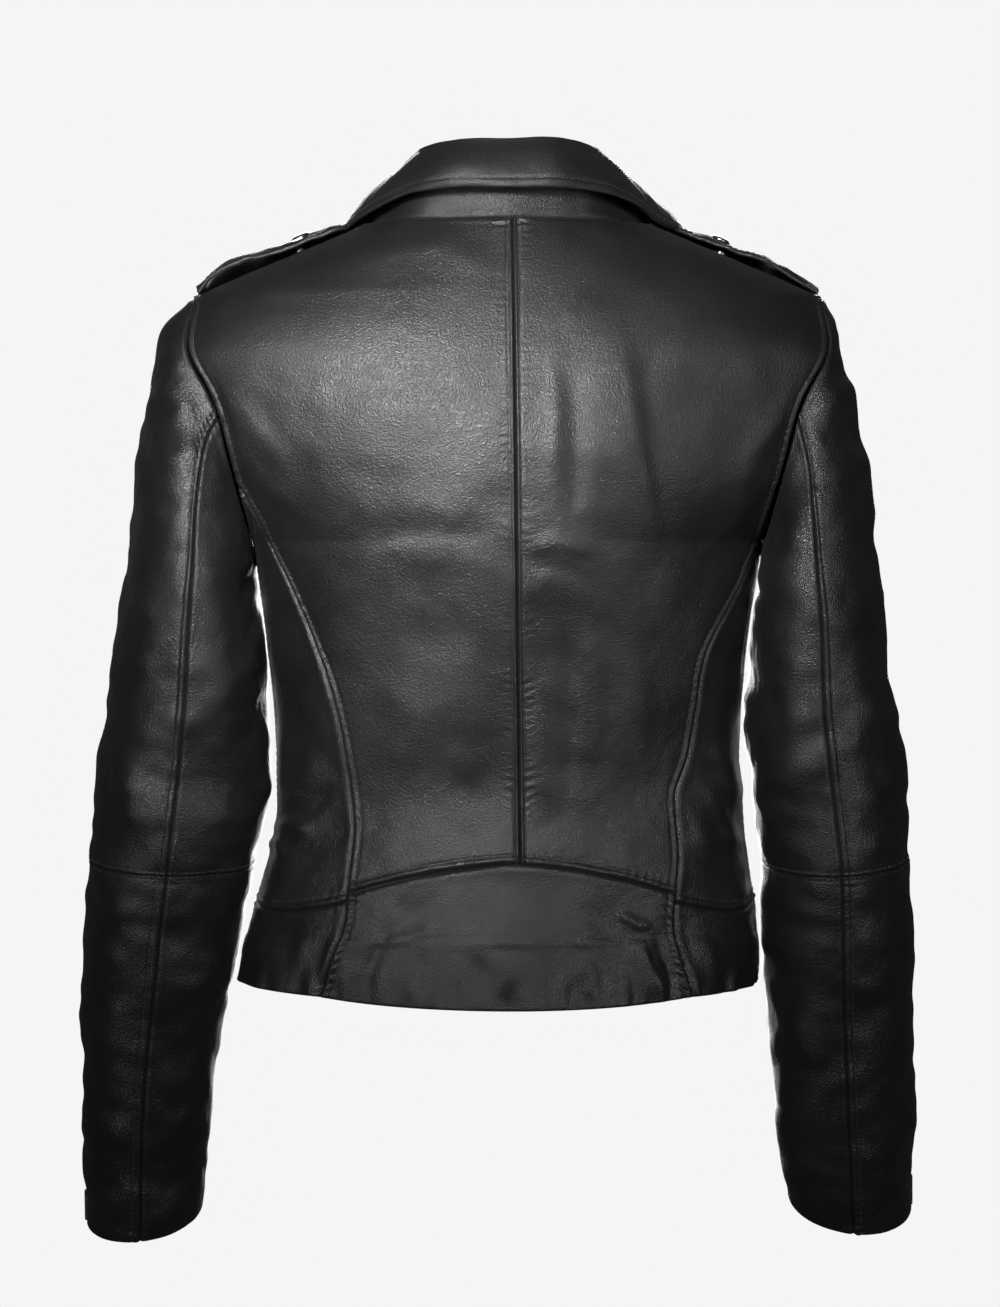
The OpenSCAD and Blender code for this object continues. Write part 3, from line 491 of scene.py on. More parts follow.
def stitches(path, normals, sunk=0.05, pitch=STITCH_PITCH):
    """Points and quads of a row of stitches lying on a surface."""
    place, line, normal = resample(path, normals, pitch)
    side = np.cross(normal, line)
    points = (place[:, None] + STITCH_POINTS[None, :, :1] * line[:, None]
              + STITCH_POINTS[None, :, 1:2] * side[:, None]
              + (STITCH_POINTS[None, :, 2:3] - sunk) * normal[:, None])
    quads = STITCH_QUADS[None] + (np.arange(len(place)) * len(STITCH_POINTS))[:, None, None]
    return points.reshape(-1, 3), quads.reshape(-1, 4)


def make_object(name, points, quads, materials, kinds=None, wear=None):
    mesh = bpy.data.meshes.new(name)
    quads = np.asarray(quads, int)
    mesh.vertices.add(len(points))
    mesh.vertices.foreach_set("co", (np.asarray(points) * MM).astype(np.float32).ravel())
    mesh.loops.add(quads.size)
    mesh.loops.foreach_set("vertex_index", quads.ravel().astype(np.int32))
    mesh.polygons.add(len(quads))
    mesh.polygons.foreach_set("loop_start", (np.arange(len(quads)) * 4).astype(np.int32))
    mesh.polygons.foreach_set("use_smooth", np.ones(len(quads), bool))
    if kinds is not None:
        mesh.polygons.foreach_set("material_index", np.asarray(kinds, np.int32))
    if wear is not None:
        attribute = mesh.attributes.new("wear", "FLOAT", "POINT")
        attribute.data.foreach_set("value", np.asarray(wear, np.float32))
    mesh.update(calc_edges=True)
    mesh.validate()
    for material in materials:
        mesh.materials.append(material)
    piece = bpy.data.objects.new(name, mesh)
    bpy.context.scene.collection.objects.link(piece)
    return piece


EDGE_STEPS = np.array([0, 0.5, 1.0, 1.6, 2.4, 3.4, 4.4, 5.2, 5.9, 6.6, 7.4, 8.6, 10.5])


def spread(width, step):
    """Places from 0 to 1 across a width in mm, close together near both ends."""
    if width < 30:
        return np.linspace(0, 1, max(6, int(width / 1.6)) + 1)
    inner = np.linspace(EDGE_STEPS[-1], width - EDGE_STEPS[-1], max(2, int((width - 21) / step)) + 1)
    return np.concatenate([EDGE_STEPS[:-1], inner, width - EDGE_STEPS[:-1][::-1]]) / width


pucker_phase = Waves(31, 45)
pucker_size = Waves(32, 60)

# Seam kinds: how the leather goes at each, by distance from it in mm
def seam_profile(kind, off, run, p):
    """(height, wear) at a distance off from an edge, at a length run along it."""
    if kind is None:
        return 0.0, 0.0
    pucker = np.sin(run * 2 * np.pi / 5.6 + 2.2 * pucker_phase(p))
    pucker = pucker * np.clip(0.6 + 0.5 * pucker_size(p), 0, 1.4)
    if kind == "twin":
        high = -1.5 * bump(off, 0, 0.75) + 1.3 * bump(off, 1.75, 0.95) - 0.9 * bump(off, 3.4, 0.7)
        high = high + 0.5 * pucker * bump(off, 7.0, 4.0)
        return high, 0.7 * bump(off, 1.6, 0.9) + 0.25 * bump(off, 6, 4)
    if kind == "stitched":
        high = -1.3 * bump(off, 0, 1.0) + 0.7 * bump(off, 2.6, 1.8) - 0.45 * bump(off, 5.6, 0.9)
        high = high + 0.34 * pucker * bump(off, 5.0, 3.6)
        return high, 0.5 * bump(off, 1.2, 1.0) + 0.2 * bump(off, 5, 3)
    if kind == "puckered":
        high = -1.5 * bump(off, 0, 1.1) + 0.9 * bump(off, 2.8, 2.0) - 0.45 * bump(off, 5.8, 0.9)
        high = high + 0.75 * pucker * bump(off, 4.4, 3.4)
        return high, 0.6 * bump(off, 1.4, 1.2) + 0.2 * bump(off, 5, 3)
    if kind == "double":
        high = -0.9 * bump(off, 0, 0.6) + 0.45 * bump(off, 1.2, 0.8) - 0.4 * bump(off, 2.4, 0.6)
        return high + 0.15 * pucker * bump(off, 4, 3), 0.4 * bump(off, 1.2, 0.8)
    if kind == "edge":
        high = 0.25 * bump(off, 3, 2) - 0.5 * bump(off, 6.3, 0.8) + 0.2 * bump(off, 8.2, 1.3)
        return high + 0.16 * pucker * bump(off, 6, 2.6), 0.5 * bump(off, 0, 1.6)
    if kind == "plain":
        high = -1.4 * bump(off, 0, 1.3) + 0.35 * bump(off, 4.0, 3.0)
        return high + 0.22 * pucker * bump(off, 3.5, 3.2), 0.35 * bump(off, 1.5, 1.2)
    return 0.0, 0.0


TURN = 1.7  # radius of a turned edge


def rounding(off):
    """How far a turned edge falls away at a distance off from it."""
    t = np.clip(1 - off / TURN, 0, 1)
    return TURN * (1 - np.sqrt(np.maximum(0, 1 - t * t)))


def panel(name, surface, left, right, top, bottom, edges, materials, height=None, step=2.6, thick=1.6,
          rows=(), inset=0.0, pads=0.0):
    """A closed sheet over a surface(a, b). left and right give a as functions of b, and top and bottom
    give b as functions of the share across. edges holds a seam kind for each edge that has one, rows
    lists stitch rows as (edge, distance), and pads lifts the sheet off its surface."""
    probe = np.linspace(0, 1, 13)
    bt, bb = top(probe), bottom(probe)
    middle_b = mix(bt, bb, 0.5)
    row = surface(mix(left(middle_b), right(middle_b), probe), middle_b, inset)
    wide = np.linalg.norm(np.diff(row, axis=0), axis=1).sum()
    column_b = mix(bt[6], bb[6], probe)
    column = surface(mix(left(column_b), right(column_b), 0.5), column_b, inset)
    long = np.linalg.norm(np.diff(column, axis=0), axis=1).sum()
    t, v = spread(wide, step), spread(long, step)
    b = mix(top(t)[None, :], bottom(t)[None, :], v[:, None])
    a = mix(left(b), right(b), t[None, :])
    base = surface(a, b, inset)
    small_a, small_b = np.ptp(a) * 1e-3 + 1e-6, np.ptp(b) * 1e-3 + 1e-6
    normal = unit(np.cross(surface(a + small_a, b, inset) - surface(a - small_a, b, inset),
                           surface(a, b + small_b, inset) - surface(a, b - small_b, inset)))
    if np.sum(normal * (base - surface(a, b, inset + 2)), -1).mean() < 0:
        normal = -normal
    across = np.cumsum(np.linalg.norm(np.diff(base, axis=1), axis=2), 1)
    across = np.concatenate([np.zeros((len(v), 1)), across], 1)
    down = np.cumsum(np.linalg.norm(np.diff(base, axis=0), axis=2), 0)
    down = np.concatenate([np.zeros((1, len(t))), down], 0)
    offs = {"left": across, "right": across[:, -1:] - across, "top": down, "bottom": down[-1:] - down}
    runs = {"left": down, "right": down, "top": across, "bottom": across}
    lift = height(base, a, b) if height else np.zeros(base.shape[:-1])
    wear, drop_in = np.zeros(lift.shape), np.zeros(lift.shape)
    for edge, kind in edges.items():
        if kind in ("turned", "edge"):
            drop_in = np.maximum(drop_in, rounding(offs[edge]))
            wear = wear + 0.6 * bump(offs[edge], 0, 1.6)
        more, worn = seam_profile(kind, offs[edge], runs[edge], base)
        lift, wear = lift + more, wear + worn
    half = min(thick / 2, TURN)
    drop_in = np.minimum(drop_in * half / TURN, half * 0.92)
    outer = base + normal * (lift + pads - drop_in)[..., None]
    inner = base + normal * (lift + pads - thick + drop_in)[..., None]
    shape = outer.shape[:2]
    count = shape[0] * shape[1]
    index = np.arange(count).reshape(shape)
    faces = np.stack([index[:-1, :-1], index[:-1, 1:], index[1:, 1:], index[1:, :-1]], -1).reshape(-1, 4)
    ring = np.concatenate([index[0, :-1], index[:-1, -1], index[-1, :0:-1], index[:0:-1, 0]])
    after = np.roll(ring, -1)
    rim = np.stack([after, ring, ring + count, after + count], -1)
    quads = np.concatenate([faces, faces[:, ::-1] + count, rim])
    turn = np.cross(outer[:-1, 1:] - outer[:-1, :-1], outer[1:, :-1] - outer[:-1, :-1])
    if np.sum(turn * normal[:-1, :-1], -1).mean() < 0:
        quads = quads[:, ::-1]
    points = np.concatenate([outer.reshape(-1, 3), inner.reshape(-1, 3)])
    kinds = np.zeros(len(quads), int)
    worn = np.concatenate([wear.ravel(), wear.ravel()])
    for edge, off in rows:
        path, normals = row_at(outer, normal, offs[edge], edge, off)
        more_points, more_quads = stitches(path, normals)
        quads = np.concatenate([quads, more_quads + len(points)])
        kinds = np.concatenate([kinds, np.ones(len(more_quads), int)])
        points = np.concatenate([points, more_points])
        worn = np.concatenate([worn, np.zeros(len(more_points))])
    return make_object(name, points, quads, materials, kinds, np.clip(worn, 0, 1))


def row_at(outer, normal, offs, edge, off):
    """The line on a panel's outer face that keeps a distance off from one edge."""
    if edge in ("top", "bottom"):
        outer, normal, offs = outer.transpose(1, 0, 2), normal.transpose(1, 0, 2), offs.T
    path, normals = [], []
    for points, ups, far in zip(outer, normal, offs):
        order = np.argsort(far)
        if far[order[-1]] < off + 1:
            continue
        path.append([np.interp(off, far[order], points[order, c]) for c in range(3)])
        normals.append([np.interp(off, far[order], ups[order, c]) for c in range(3)])
    if len(path) < 3:
        return np.zeros((2, 3)), np.array([[0, 0, 1.0], [0, 0, 1.0]])
    return np.array(path), np.array(normals)


# ---------------------------------------------------------------- materials


def new_material(name):
    material = bpy.data.materials.new(name)
    material.use_nodes = True
    nodes, links = material.node_tree.nodes, material.node_tree.links
    nodes.clear()
    out = nodes.new("ShaderNodeOutputMaterial")
    shader = nodes.new("ShaderNodeBsdfPrincipled")
    links.new(shader.outputs["BSDF"], out.inputs["Surface"])
    return material, nodes, links, shader


def node(nodes, kind, **values):
    made = nodes.new("ShaderNode" + kind)
    for key, value in values.items():
        if key in made.inputs:
            made.inputs[key].default_value = value
        else:
            setattr(made, key, value)
    return made


def texture(nodes, links, place, kind, **values):
    made = node(nodes, "Tex" + kind, **values)
    links.new(place, made.inputs["Vector"])
    return made


def mixed(nodes, links, factor, low, high):
    """A colour mixed from low to high, where each is a plain colour or an output."""
    made = nodes.new("ShaderNodeMix")
    made.data_type = "RGBA"
    for name, colour in (("A", low), ("B", high)):
        if isinstance(colour, (tuple, list)):
            made.inputs[name].default_value = (*colour, 1)
        else:
            links.new(colour, made.inputs[name])
    links.new(factor, made.inputs["Factor"])
    return made.outputs["Result"]


def ramp(nodes, links, source, low, high, at=(0.3, 0.7)):
    made = nodes.new("ShaderNodeValToRGB")
    made.color_ramp.elements[0].position, made.color_ramp.elements[1].position = at
    made.color_ramp.elements[0].color = (*low, 1) if isinstance(low, tuple) else (low, low, low, 1)
    made.color_ramp.elements[1].color = (*high, 1) if isinstance(high, tuple) else (high, high, high, 1)
    links.new(source, made.inputs["Fac"])
    return made.outputs["Color"]


def chain_bumps(nodes, links, shader, layers):
    """Bump layers, one after another: (height output, strength, distance in metres)."""
    last = None
    for source, strength, distance in layers:
        made = node(nodes, "Bump", Strength=strength, Distance=distance)
        links.new(source, made.inputs["Height"])
        if last is not None:
            links.new(last.outputs["Normal"], made.inputs["Normal"])
        last = made
    links.new(last.outputs["Normal"], shader.inputs["Normal"])


def leather(name, dark, light, rough=(0.33, 0.46), grain=1.0):
    """Black full-grain leather: pebble grain, fine creases, uneven gloss and rubbed edges."""
    material, nodes, links, shader = new_material(name)
    place = nodes.new("ShaderNodeTexCoord").outputs["Object"]
    warp = texture(nodes, links, place, "Noise", Scale=90.0, Detail=2.0)
    bend = node(nodes, "VectorMath", operation="MULTIPLY_ADD")
    bend.inputs[1].default_value = (0.0016, 0.0016, 0.0016)
    links.new(warp.outputs["Color"], bend.inputs[0])
    links.new(place, bend.inputs[2])
    bent = bend.outputs["Vector"]
    pebbles = texture(nodes, links, bent, "Voronoi", Scale=1000.0 * grain, Randomness=1.0, feature="F1")
    creases = texture(nodes, links, bent, "Voronoi", Scale=300.0 * grain, Randomness=1.0,
                      feature="DISTANCE_TO_EDGE")
    crease = ramp(nodes, links, creases.outputs["Distance"], 0.0, 1.0, (0.0, 0.16))
    pores = texture(nodes, links, place, "Noise", Scale=1500.0, Detail=2.0)
    patches = texture(nodes, links, place, "Noise", Scale=22.0, Detail=4.0, Roughness=0.6)
    rumple = texture(nodes, links, place, "Noise", Scale=130.0, Detail=5.0, Roughness=0.6)
    worn = node(nodes, "Attribute", attribute_name="wear")
    uneven = ramp(nodes, links, patches.outputs["Fac"], 0.0, 0.55, (0.35, 0.7))
    colour = mixed(nodes, links, uneven, dark, light)
    less = node(nodes, "Math", operation="MULTIPLY")
    less.inputs[1].default_value = 0.5
    links.new(worn.outputs["Fac"], less.inputs[0])
    rubbed = mixed(nodes, links, less.outputs["Value"], colour, [c * 2.1 for c in light])
    links.new(rubbed, shader.inputs["Base Color"])
    gloss = node(nodes, "MapRange")
    gloss.inputs["From Min"].default_value = 0.3
    gloss.inputs["From Max"].default_value = 0.7
    gloss.inputs["To Min"].default_value = rough[0]
    gloss.inputs["To Max"].default_value = rough[1]
    links.new(patches.outputs["Fac"], gloss.inputs["Value"])
    links.new(gloss.outputs["Result"], shader.inputs["Roughness"])
    shader.inputs["Specular IOR Level"].default_value = 0.5
    shader.inputs["Sheen Weight"].default_value = 0.02
    shader.inputs["Sheen Roughness"].default_value = 0.5
    chain_bumps(nodes, links, shader, [
        (patches.outputs["Fac"], 0.25, 0.002),
        (rumple.outputs["Fac"], 0.36, 0.0006),
        (crease, 0.25, 0.00028),
        (pebbles.outputs["Distance"], 0.6, 0.00038),
        (pores.outputs["Fac"], 0.12, 0.0001),
    ])
    return material


def cloth(name, dark, light, threads=1400.0, rough=0.6, sheen=0.3):
    """Woven cloth: twill ribs crossed with fine noise."""
    material, nodes, links, shader = new_material(name)
    place = nodes.new("ShaderNodeTexCoord").outputs["Object"]
    twill = node(nodes, "TexWave", Scale=threads / 6.3, Distortion=0.4, bands_direction="DIAGONAL")
    weft = node(nodes, "TexWave", Scale=threads / 6.3, Distortion=0.6, bands_direction="Z")
    noise = node(nodes, "TexNoise", Scale=120.0, Detail=4.0)
    for texture in (twill, weft, noise):
        links.new(place, texture.inputs["Vector"])
    both = node(nodes, "Math", operation="MULTIPLY")
    links.new(twill.outputs["Fac"], both.inputs[0])
    links.new(noise.outputs["Fac"], both.inputs[1])
    links.new(mixed(nodes, links, both.outputs["Value"], dark, light), shader.inputs["Base Color"])
    shader.inputs["Roughness"].default_value = rough
    shader.inputs["Sheen Weight"].default_value = sheen
    chain_bumps(nodes, links, shader, [
        (weft.outputs["Fac"], 0.2, 0.0002),
        (twill.outputs["Fac"], 0.3, 0.0002),
    ])
    return material


def metal(name, dark, light, rough=(0.26, 0.46)):
    """Aged nickel, darker in its hollows, with fine scratches."""
    material, nodes, links, shader = new_material(name)
    place = nodes.new("ShaderNodeTexCoord").outputs["Object"]
    blotches = texture(nodes, links, place, "Noise", Scale=350.0, Detail=5.0, Roughness=0.65)
    scratches = node(nodes, "TexNoise", Scale=900.0, Detail=2.0)
    squeeze = node(nodes, "Mapping")
    squeeze.inputs["Scale"].default_value = (1.0, 1.0, 0.08)
    links.new(place, squeeze.inputs["Vector"])
    links.new(squeeze.outputs["Vector"], scratches.inputs["Vector"])
    links.new(ramp(nodes, links, blotches.outputs["Fac"], dark, light), shader.inputs["Base Color"])
    gloss = node(nodes, "MapRange")
    gloss.inputs["To Min"].default_value = rough[1]
    gloss.inputs["To Max"].default_value = rough[0]
    links.new(blotches.outputs["Fac"], gloss.inputs["Value"])
    links.new(gloss.outputs["Result"], shader.inputs["Roughness"])
    shader.inputs["Metallic"].default_value = 1.0
    chain_bumps(nodes, links, shader, [(scratches.outputs["Fac"], 0.12, 0.0001)])
    return material


SHELL = leather("black_leather", (0.0082, 0.0079, 0.0074), (0.0125, 0.0119, 0.011))
COLLAR = leather("collar_leather", (0.0080, 0.0077, 0.0072), (0.0120, 0.0115, 0.0106), (0.38, 0.52), 1.15)
THREAD = cloth("black_thread", (0.010, 0.0098, 0.0094), (0.026, 0.025, 0.024), 4000.0, 0.5, 0.2)
LINING = cloth("lining_twill", (0.012, 0.012, 0.014), (0.022, 0.022, 0.025), 2600.0, 0.45, 0.25)
WADDING = cloth("wadding", (0.55, 0.54, 0.50), (0.7, 0.69, 0.66), 600.0, 0.9, 0.1)
TAPE = cloth("zip_tape_weave", (0.006, 0.006, 0.0065), (0.014, 0.014, 0.015), 5200.0, 0.7, 0.1)
LABEL = cloth("label_weave", (0.012, 0.012, 0.013), (0.03, 0.03, 0.032), 4200.0, 0.6, 0.2)
NICKEL = metal("aged_nickel", (0.17, 0.16, 0.125), (0.42, 0.40, 0.34))
DOME = metal("snap_nickel", (0.12, 0.115, 0.10), (0.36, 0.35, 0.32), (0.2, 0.36))

LEATHER = [SHELL, THREAD]
ALL_TURNED = dict.fromkeys(("left", "right", "top", "bottom"), "turned")

# ---------------------------------------------------------------- shell of the body


def middle_x(drop):
    return -3 - 5 * np.asarray(drop, float) / 424


def seam_x(rows, side, start):
    return lambda drop: side * np.where(np.asarray(drop) < start, edge_x(side, drop), curve(rows, drop))


def zip_x(drop):
    return mix(FRONT_TOP_X, FRONT_END_X, (drop - FRONT_TOP) / (HEM_DROP - FRONT_TOP))


def front_edge(side):
    def x(drop):
        drop = np.asarray(drop, float)
        neck = side * mix(90, side * FRONT_TOP_X, drop / FRONT_TOP)
        return np.where(drop < FRONT_TOP, neck, zip_x(drop)) + side * ZIP_HALF
    return x


def hem_at(x):
    return HEM_DROP - 16 * (np.asarray(x, float) / 180) ** 2


def band_at(x):
    return 425 + 20 * (np.abs(x) / 106) ** 1.5


def level(value):
    """An edge that stays at one value."""
    return lambda t: np.full(np.shape(t), float(value))


def band_line(start, end):
    return lambda t: band_at(mix(start, end, t))


def hem_line(start, end, short=0):
    return lambda t: hem_at(mix(start, end, t)) - short


def side_band(t):
    return 451 + 7 * np.sin(np.pi * t)


def back_seam(side):
    start = 176
    rows = BACK_SEAM_LEFT if side > 0 else BACK_SEAM_RIGHT
    return back_u(lambda drop: np.minimum(np.abs(seam_x(rows, side, start)(drop)), edge_x(side, drop)) * side)


def front_seam(side):
    def x(drop):
        edge = edge_x(side, drop)
        seam = np.minimum(curve(FRONT_SEAM, drop), edge)
        return side * np.where(np.asarray(drop) < FRONT_SEAM[0][0], edge, seam)
    return front_u(x, side)


ZIP_LENGTH, CUFF_ZIP = 118.0, -32.0
TOOTH_PITCH = 1.55


def lifted_line(outer, inner, places, height, coordinates):
    """A line on the folded surface with the normals there."""
    base = outer(places)
    normals = unit(base - inner(places))
    a, b = coordinates(places)
    return base + normals * height(base, np.broadcast_to(a, places.shape), places)[:, None], normals


def zip_chain(name, path, normals, lift):
    """Two rows of metal teeth that mesh along a line."""
    place, line, normal = resample(path, normals, TOOTH_PITCH)
    across = np.cross(normal, line)
    turn = np.where(np.arange(len(place)) % 2, 1.0, -1.0)[:, None]
    shape = np.array([(-0.9, 0.62, 0.0), (-0.9, -0.62, 0.0), (-0.4, -0.72, 1.0), (-0.4, 0.72, 1.0),
                      (2.6, 0.62, 0.0), (2.6, -0.62, 0.0), (2.3, -0.5, 0.85), (2.3, 0.5, 0.85)])
    faces = np.array([(0, 1, 2, 3), (4, 7, 6, 5), (0, 3, 7, 4), (1, 5, 6, 2), (3, 2, 6, 7), (0, 4, 5, 1)])
    points = (place[:, None] + shape[None, :, :1] * (across * turn)[:, None]
              + shape[None, :, 1:2] * line[:, None] + (shape[None, :, 2:] * 1.5 + lift) * normal[:, None])
    quads = faces[None] + (np.arange(len(place)) * len(shape))[:, None, None]
    flipped = np.where((turn > 0)[:, :, None], quads, quads[:, :, ::-1])
    chain = make_object(name, points.reshape(-1, 3), flipped.reshape(-1, 4), [NICKEL])
    for polygon in chain.data.polygons:
        polygon.use_smooth = False
    return chain


body = "jacket_body"
sheets = []


def declare(piece, node_name, held="stretched"):
    """A sheet that stands for a CAD node: the node is hidden and the sheet is kept in the list of sheets."""
    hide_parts(node_name)
    sheets.append((piece, held))


def sew(piece, node_name, rides_on, held="stretched"):
    declare(piece, node_name, held)
    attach(piece, rides_on)


def ordered(a, b, swap):
    return (b, a) if swap else (a, b)


for word, side in (("left", 1), ("right", -1)):
    swap = side < 0
    a, b = ordered(back_u(middle_x), back_seam(side), swap)
    near, far = ("left", "right") if side > 0 else ("right", "left")
    piece = panel(
        f"back_{word}_panel", torso, a, b, level(0.4),
        band_line(-6, 106) if side > 0 else band_line(111, 6),
        {near: "twin", far: "stitched", "bottom": "stitched", "top": "plain"}, LEATHER, torso_height, 2.2,
        rows=[(near, 3.3), (far, 5.4), ("bottom", 6.5)])
    sew(piece, f"back_{word}", body)

    a, b = ordered(back_seam(side), level(side), swap)
    piece = panel(f"side_back_{word}_panel", torso, a, b, level(180 if side > 0 else 200), side_band,
                  {near: "plain", far: "plain", "bottom": "stitched"}, LEATHER, torso_height, 2.4,
                  rows=[("bottom", 6.5)])
    sew(piece, f"side_back_{word}", body)

    a, b = ordered(front_u(front_edge(side), side), front_seam(side), swap)
    piece = panel(f"front_{word}_panel", torso, a, b, level(1.5), level(FRONT_BAND),
                  {near: "turned", far: "stitched", "bottom": "stitched", "top": "plain"}, LEATHER,
                  torso_height, 3.4, rows=[(near, 6.0), (far, 5.4), ("bottom", 6.5)])
    sew(piece, f"front_{word}", body)

    a, b = ordered(front_seam(side), level(side), swap)
    piece = panel(f"side_front_{word}_panel", torso, a, b, level(154), level(FRONT_BAND),
                  {near: "plain", far: "plain", "bottom": "stitched"}, LEATHER, torso_height, 3.4,
                  rows=[("bottom", 6.5)])
    sew(piece, f"side_front_{word}", body)

    a, b = ordered(back_seam(side), level(side), swap)
    piece = panel(f"hem_side_{word}_panel", torso, a, b, side_band,
                  hem_line(126, 180) if side > 0 else hem_line(170, 124),
                  {near: "plain", far: "plain", "top": "plain", "bottom": "turned"}, LEATHER, torso_height,
                  2.4, 2.6)
    sew(piece, f"hem_side_{word}", body)

    a, b = ordered(front_u(front_edge(side), side), level(side), swap)
    piece = panel(f"hem_front_{word}_panel", torso, a, b, level(FRONT_BAND),
                  hem_line(49, 180) if side > 0 else hem_line(170, 41),
                  {near: "turned", far: "plain", "top": "plain", "bottom": "turned"}, LEATHER, torso_height,
                  3.4, 2.6)
    sew(piece, f"hem_front_{word}", body)

piece = panel("hem_back_panel", torso, back_seam(-1), back_seam(1), band_line(-111, 111),
              hem_line(-125, 125), {"left": "puckered", "right": "puckered", "top": "plain",
                                                    "bottom": "turned"}, LEATHER, torso_height, 2.0, 2.6,
              rows=[("left", 6.0), ("right", 6.0)])
sew(piece, "hem_back", body)

# ---------------------------------------------------------------- collar


def collar_row(rows, k):
    p = station(rows, np.abs(k))
    p[..., 0] = np.where(k < 0, -p[..., 0], p[..., 0])
    return p


def collar_out(k):
    p = collar_row(COLLAR_SEAM, k) + np.array([0, 62, 0])
    p[..., 2] = 0
    return unit(p)


def stand_surface(k, v, inset=0.0):
    k, v = np.broadcast_arrays(np.asarray(k, float), np.asarray(v, float))
    p = mix(collar_row(COLLAR_FOLD, k), collar_row(COLLAR_SEAM, k), v[..., None])
    return p + collar_out(k) * (-1.0 * (1 - v) - inset)[..., None]


def leaf_surface(k, v, inset=0.0):
    """The folded-down leaf: v runs from inside the fold, over it, and down to the edge."""
    k, v = np.broadcast_arrays(np.asarray(k, float), np.asarray(v, float))
    w = np.clip(v, 0, 1)
    p = mix(collar_row(COLLAR_FOLD, k), collar_row(COLLAR_EDGE, k), w[..., None])
    out = 1.6 + 4.6 * np.sin(np.pi * np.clip(w, 0, 1)) ** 0.8
    over = np.sin(np.pi * np.clip(w * 4, 0, 1) / 2)
    lifted = p + collar_out(k) * (out * over - inset * over)[..., None]
    lifted[..., 2] += 1.5 * (1 - np.clip(w * 5, 0, 1)) ** 2 - inset * (1 - over)
    side = smooth((np.abs(k) - 1.6) / 1.2)
    lifted[..., 0] += np.where(k < 0, -9, -2) * side * w
    lifted[..., 2] += np.where(k < 0, -9, -4) * side * w * bump(np.abs(k), 3.2, 1.6)
    return lifted


collar_hills = Waves(41, 60)


def collar_height(p, a, b):
    return 0.8 * collar_hills(p) + 0.3 * small_hills(p) + 0.1 * fine_hills(p)


END = 5.8
piece = panel("collar_stand_band", stand_surface, level(-END), level(END), level(0.03), level(1.07),
              {"bottom": "plain"}, [COLLAR, THREAD], collar_height, 2.4)
sew(piece, "collar_stand", body)
piece = panel("collar_leaf_flap", leaf_surface, level(-END), level(END), level(0.0), level(1.0),
              {"bottom": "edge", "left": "edge", "right": "edge"}, [COLLAR, THREAD], collar_height, 1.8, 2.8,
              rows=[("bottom", 6.4), ("left", 6.4), ("right", 6.4)])
sew(piece, "collar_leaf", body)

# ---------------------------------------------------------------- sleeves

for word, side, rows, folds in (("left", 1, SLEEVE_LEFT, SLEEVE_FOLDS_LEFT),
                                ("right", -1, SLEEVE_RIGHT, SLEEVE_FOLDS_RIGHT)):
    surface = sleeve_surface(rows, side)
    height = sleeve_height(folds, side)
    outer_angles = (level(FRONT_SLEEVE_SEAM), level(BACK_SLEEVE_SEAM))
    under_angles = (level(BACK_SLEEVE_SEAM), level(FRONT_SLEEVE_SEAM + 360))
    lower = "puckered" if side < 0 else "stitched"
    for part, angles, seams, extra in (
        ("outer", outer_angles, ("plain", "stitched"), [("right", 5.6)]),
        ("under", under_angles, ("plain", "plain"), []),
    ):
        piece = panel(f"upper_sleeve_{part}_{word}_panel", surface, *angles, level(0.0), level(ELBOW),
                      {"left": seams[0], "right": seams[1], "top": "plain", "bottom": "double"}, LEATHER,
                      height, 2.6, rows=extra + [("bottom", 2.3)])
        declare(piece, f"upper_sleeve_{part}_{word}", held="hung")
        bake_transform(piece)
        seams = (seams[0], lower if seams[1] == "stitched" else seams[1])
        piece = panel(f"forearm_{part}_{word}_panel", surface, *angles, level(ELBOW), level(CUFF),
                      {"left": seams[0], "right": seams[1], "top": "double", "bottom": "turned"}, LEATHER,
                      height, 2.6, 2.0, rows=extra + [("top", 2.3)])
        declare(piece, f"forearm_{part}_{word}", held="hung")
        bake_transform(piece)
    for part, from_k, to_k in (("upper", 0.25, ELBOW + 0.1), ("forearm", ELBOW - 0.1, CUFF - 0.22)):
        piece = panel(f"{part}_sleeve_lining_{word}", surface, level(FRONT_SLEEVE_SEAM + 0.1),
                      level(FRONT_SLEEVE_SEAM + 359.9), level(from_k), level(to_k), {},
                      [LINING], height, 5.0, 0.7, inset=2.9 if part == "upper" else 3.3)
        declare(piece, f"{part}_lining_{word}", "hung")
        if part == "upper":
            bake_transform(piece)
        else:
            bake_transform(piece)

    # cuff zip up the outer front of the forearm
    low, high = CUFF - 1 / 58, CUFF - (1 + ZIP_LENGTH) / 58
    tape = panel(f"cuff_zip_tape_{word}", lambda a, b, inset=0.0: surface(a, b, inset),
                 level(CUFF_ZIP - 7.5), level(CUFF_ZIP + 7.5),
                 level(high), level(low), {"left": "turned", "right": "turned"}, [TAPE], height, 2.0, 0.7,
                 inset=-1.0, pads=0.2)
    sew(tape, f"cuff_zip_{word}", f"forearm_{word}")
    line = np.linspace(high + 0.03, low - 0.02, 40)
    path, normals = lifted_line(lambda k: surface(CUFF_ZIP, k), lambda k: surface(CUFF_ZIP, k, 3), line,
                                height, lambda k: (CUFF_ZIP, k))
    chain = zip_chain(f"cuff_zip_chain_{word}", path, normals, 1.7)
    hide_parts(f"cuff_zip_{word}")
    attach(chain, f"forearm_{word}")

# ---------------------------------------------------------------- lining, facing and pads


def inner_edge(gap):
    return lambda side: front_u(lambda drop: front_edge(side)(drop) + side * gap, side)


LINING_INSET, LINING_SHORT = 3.4, 14
PAD_ROOM = 4.0


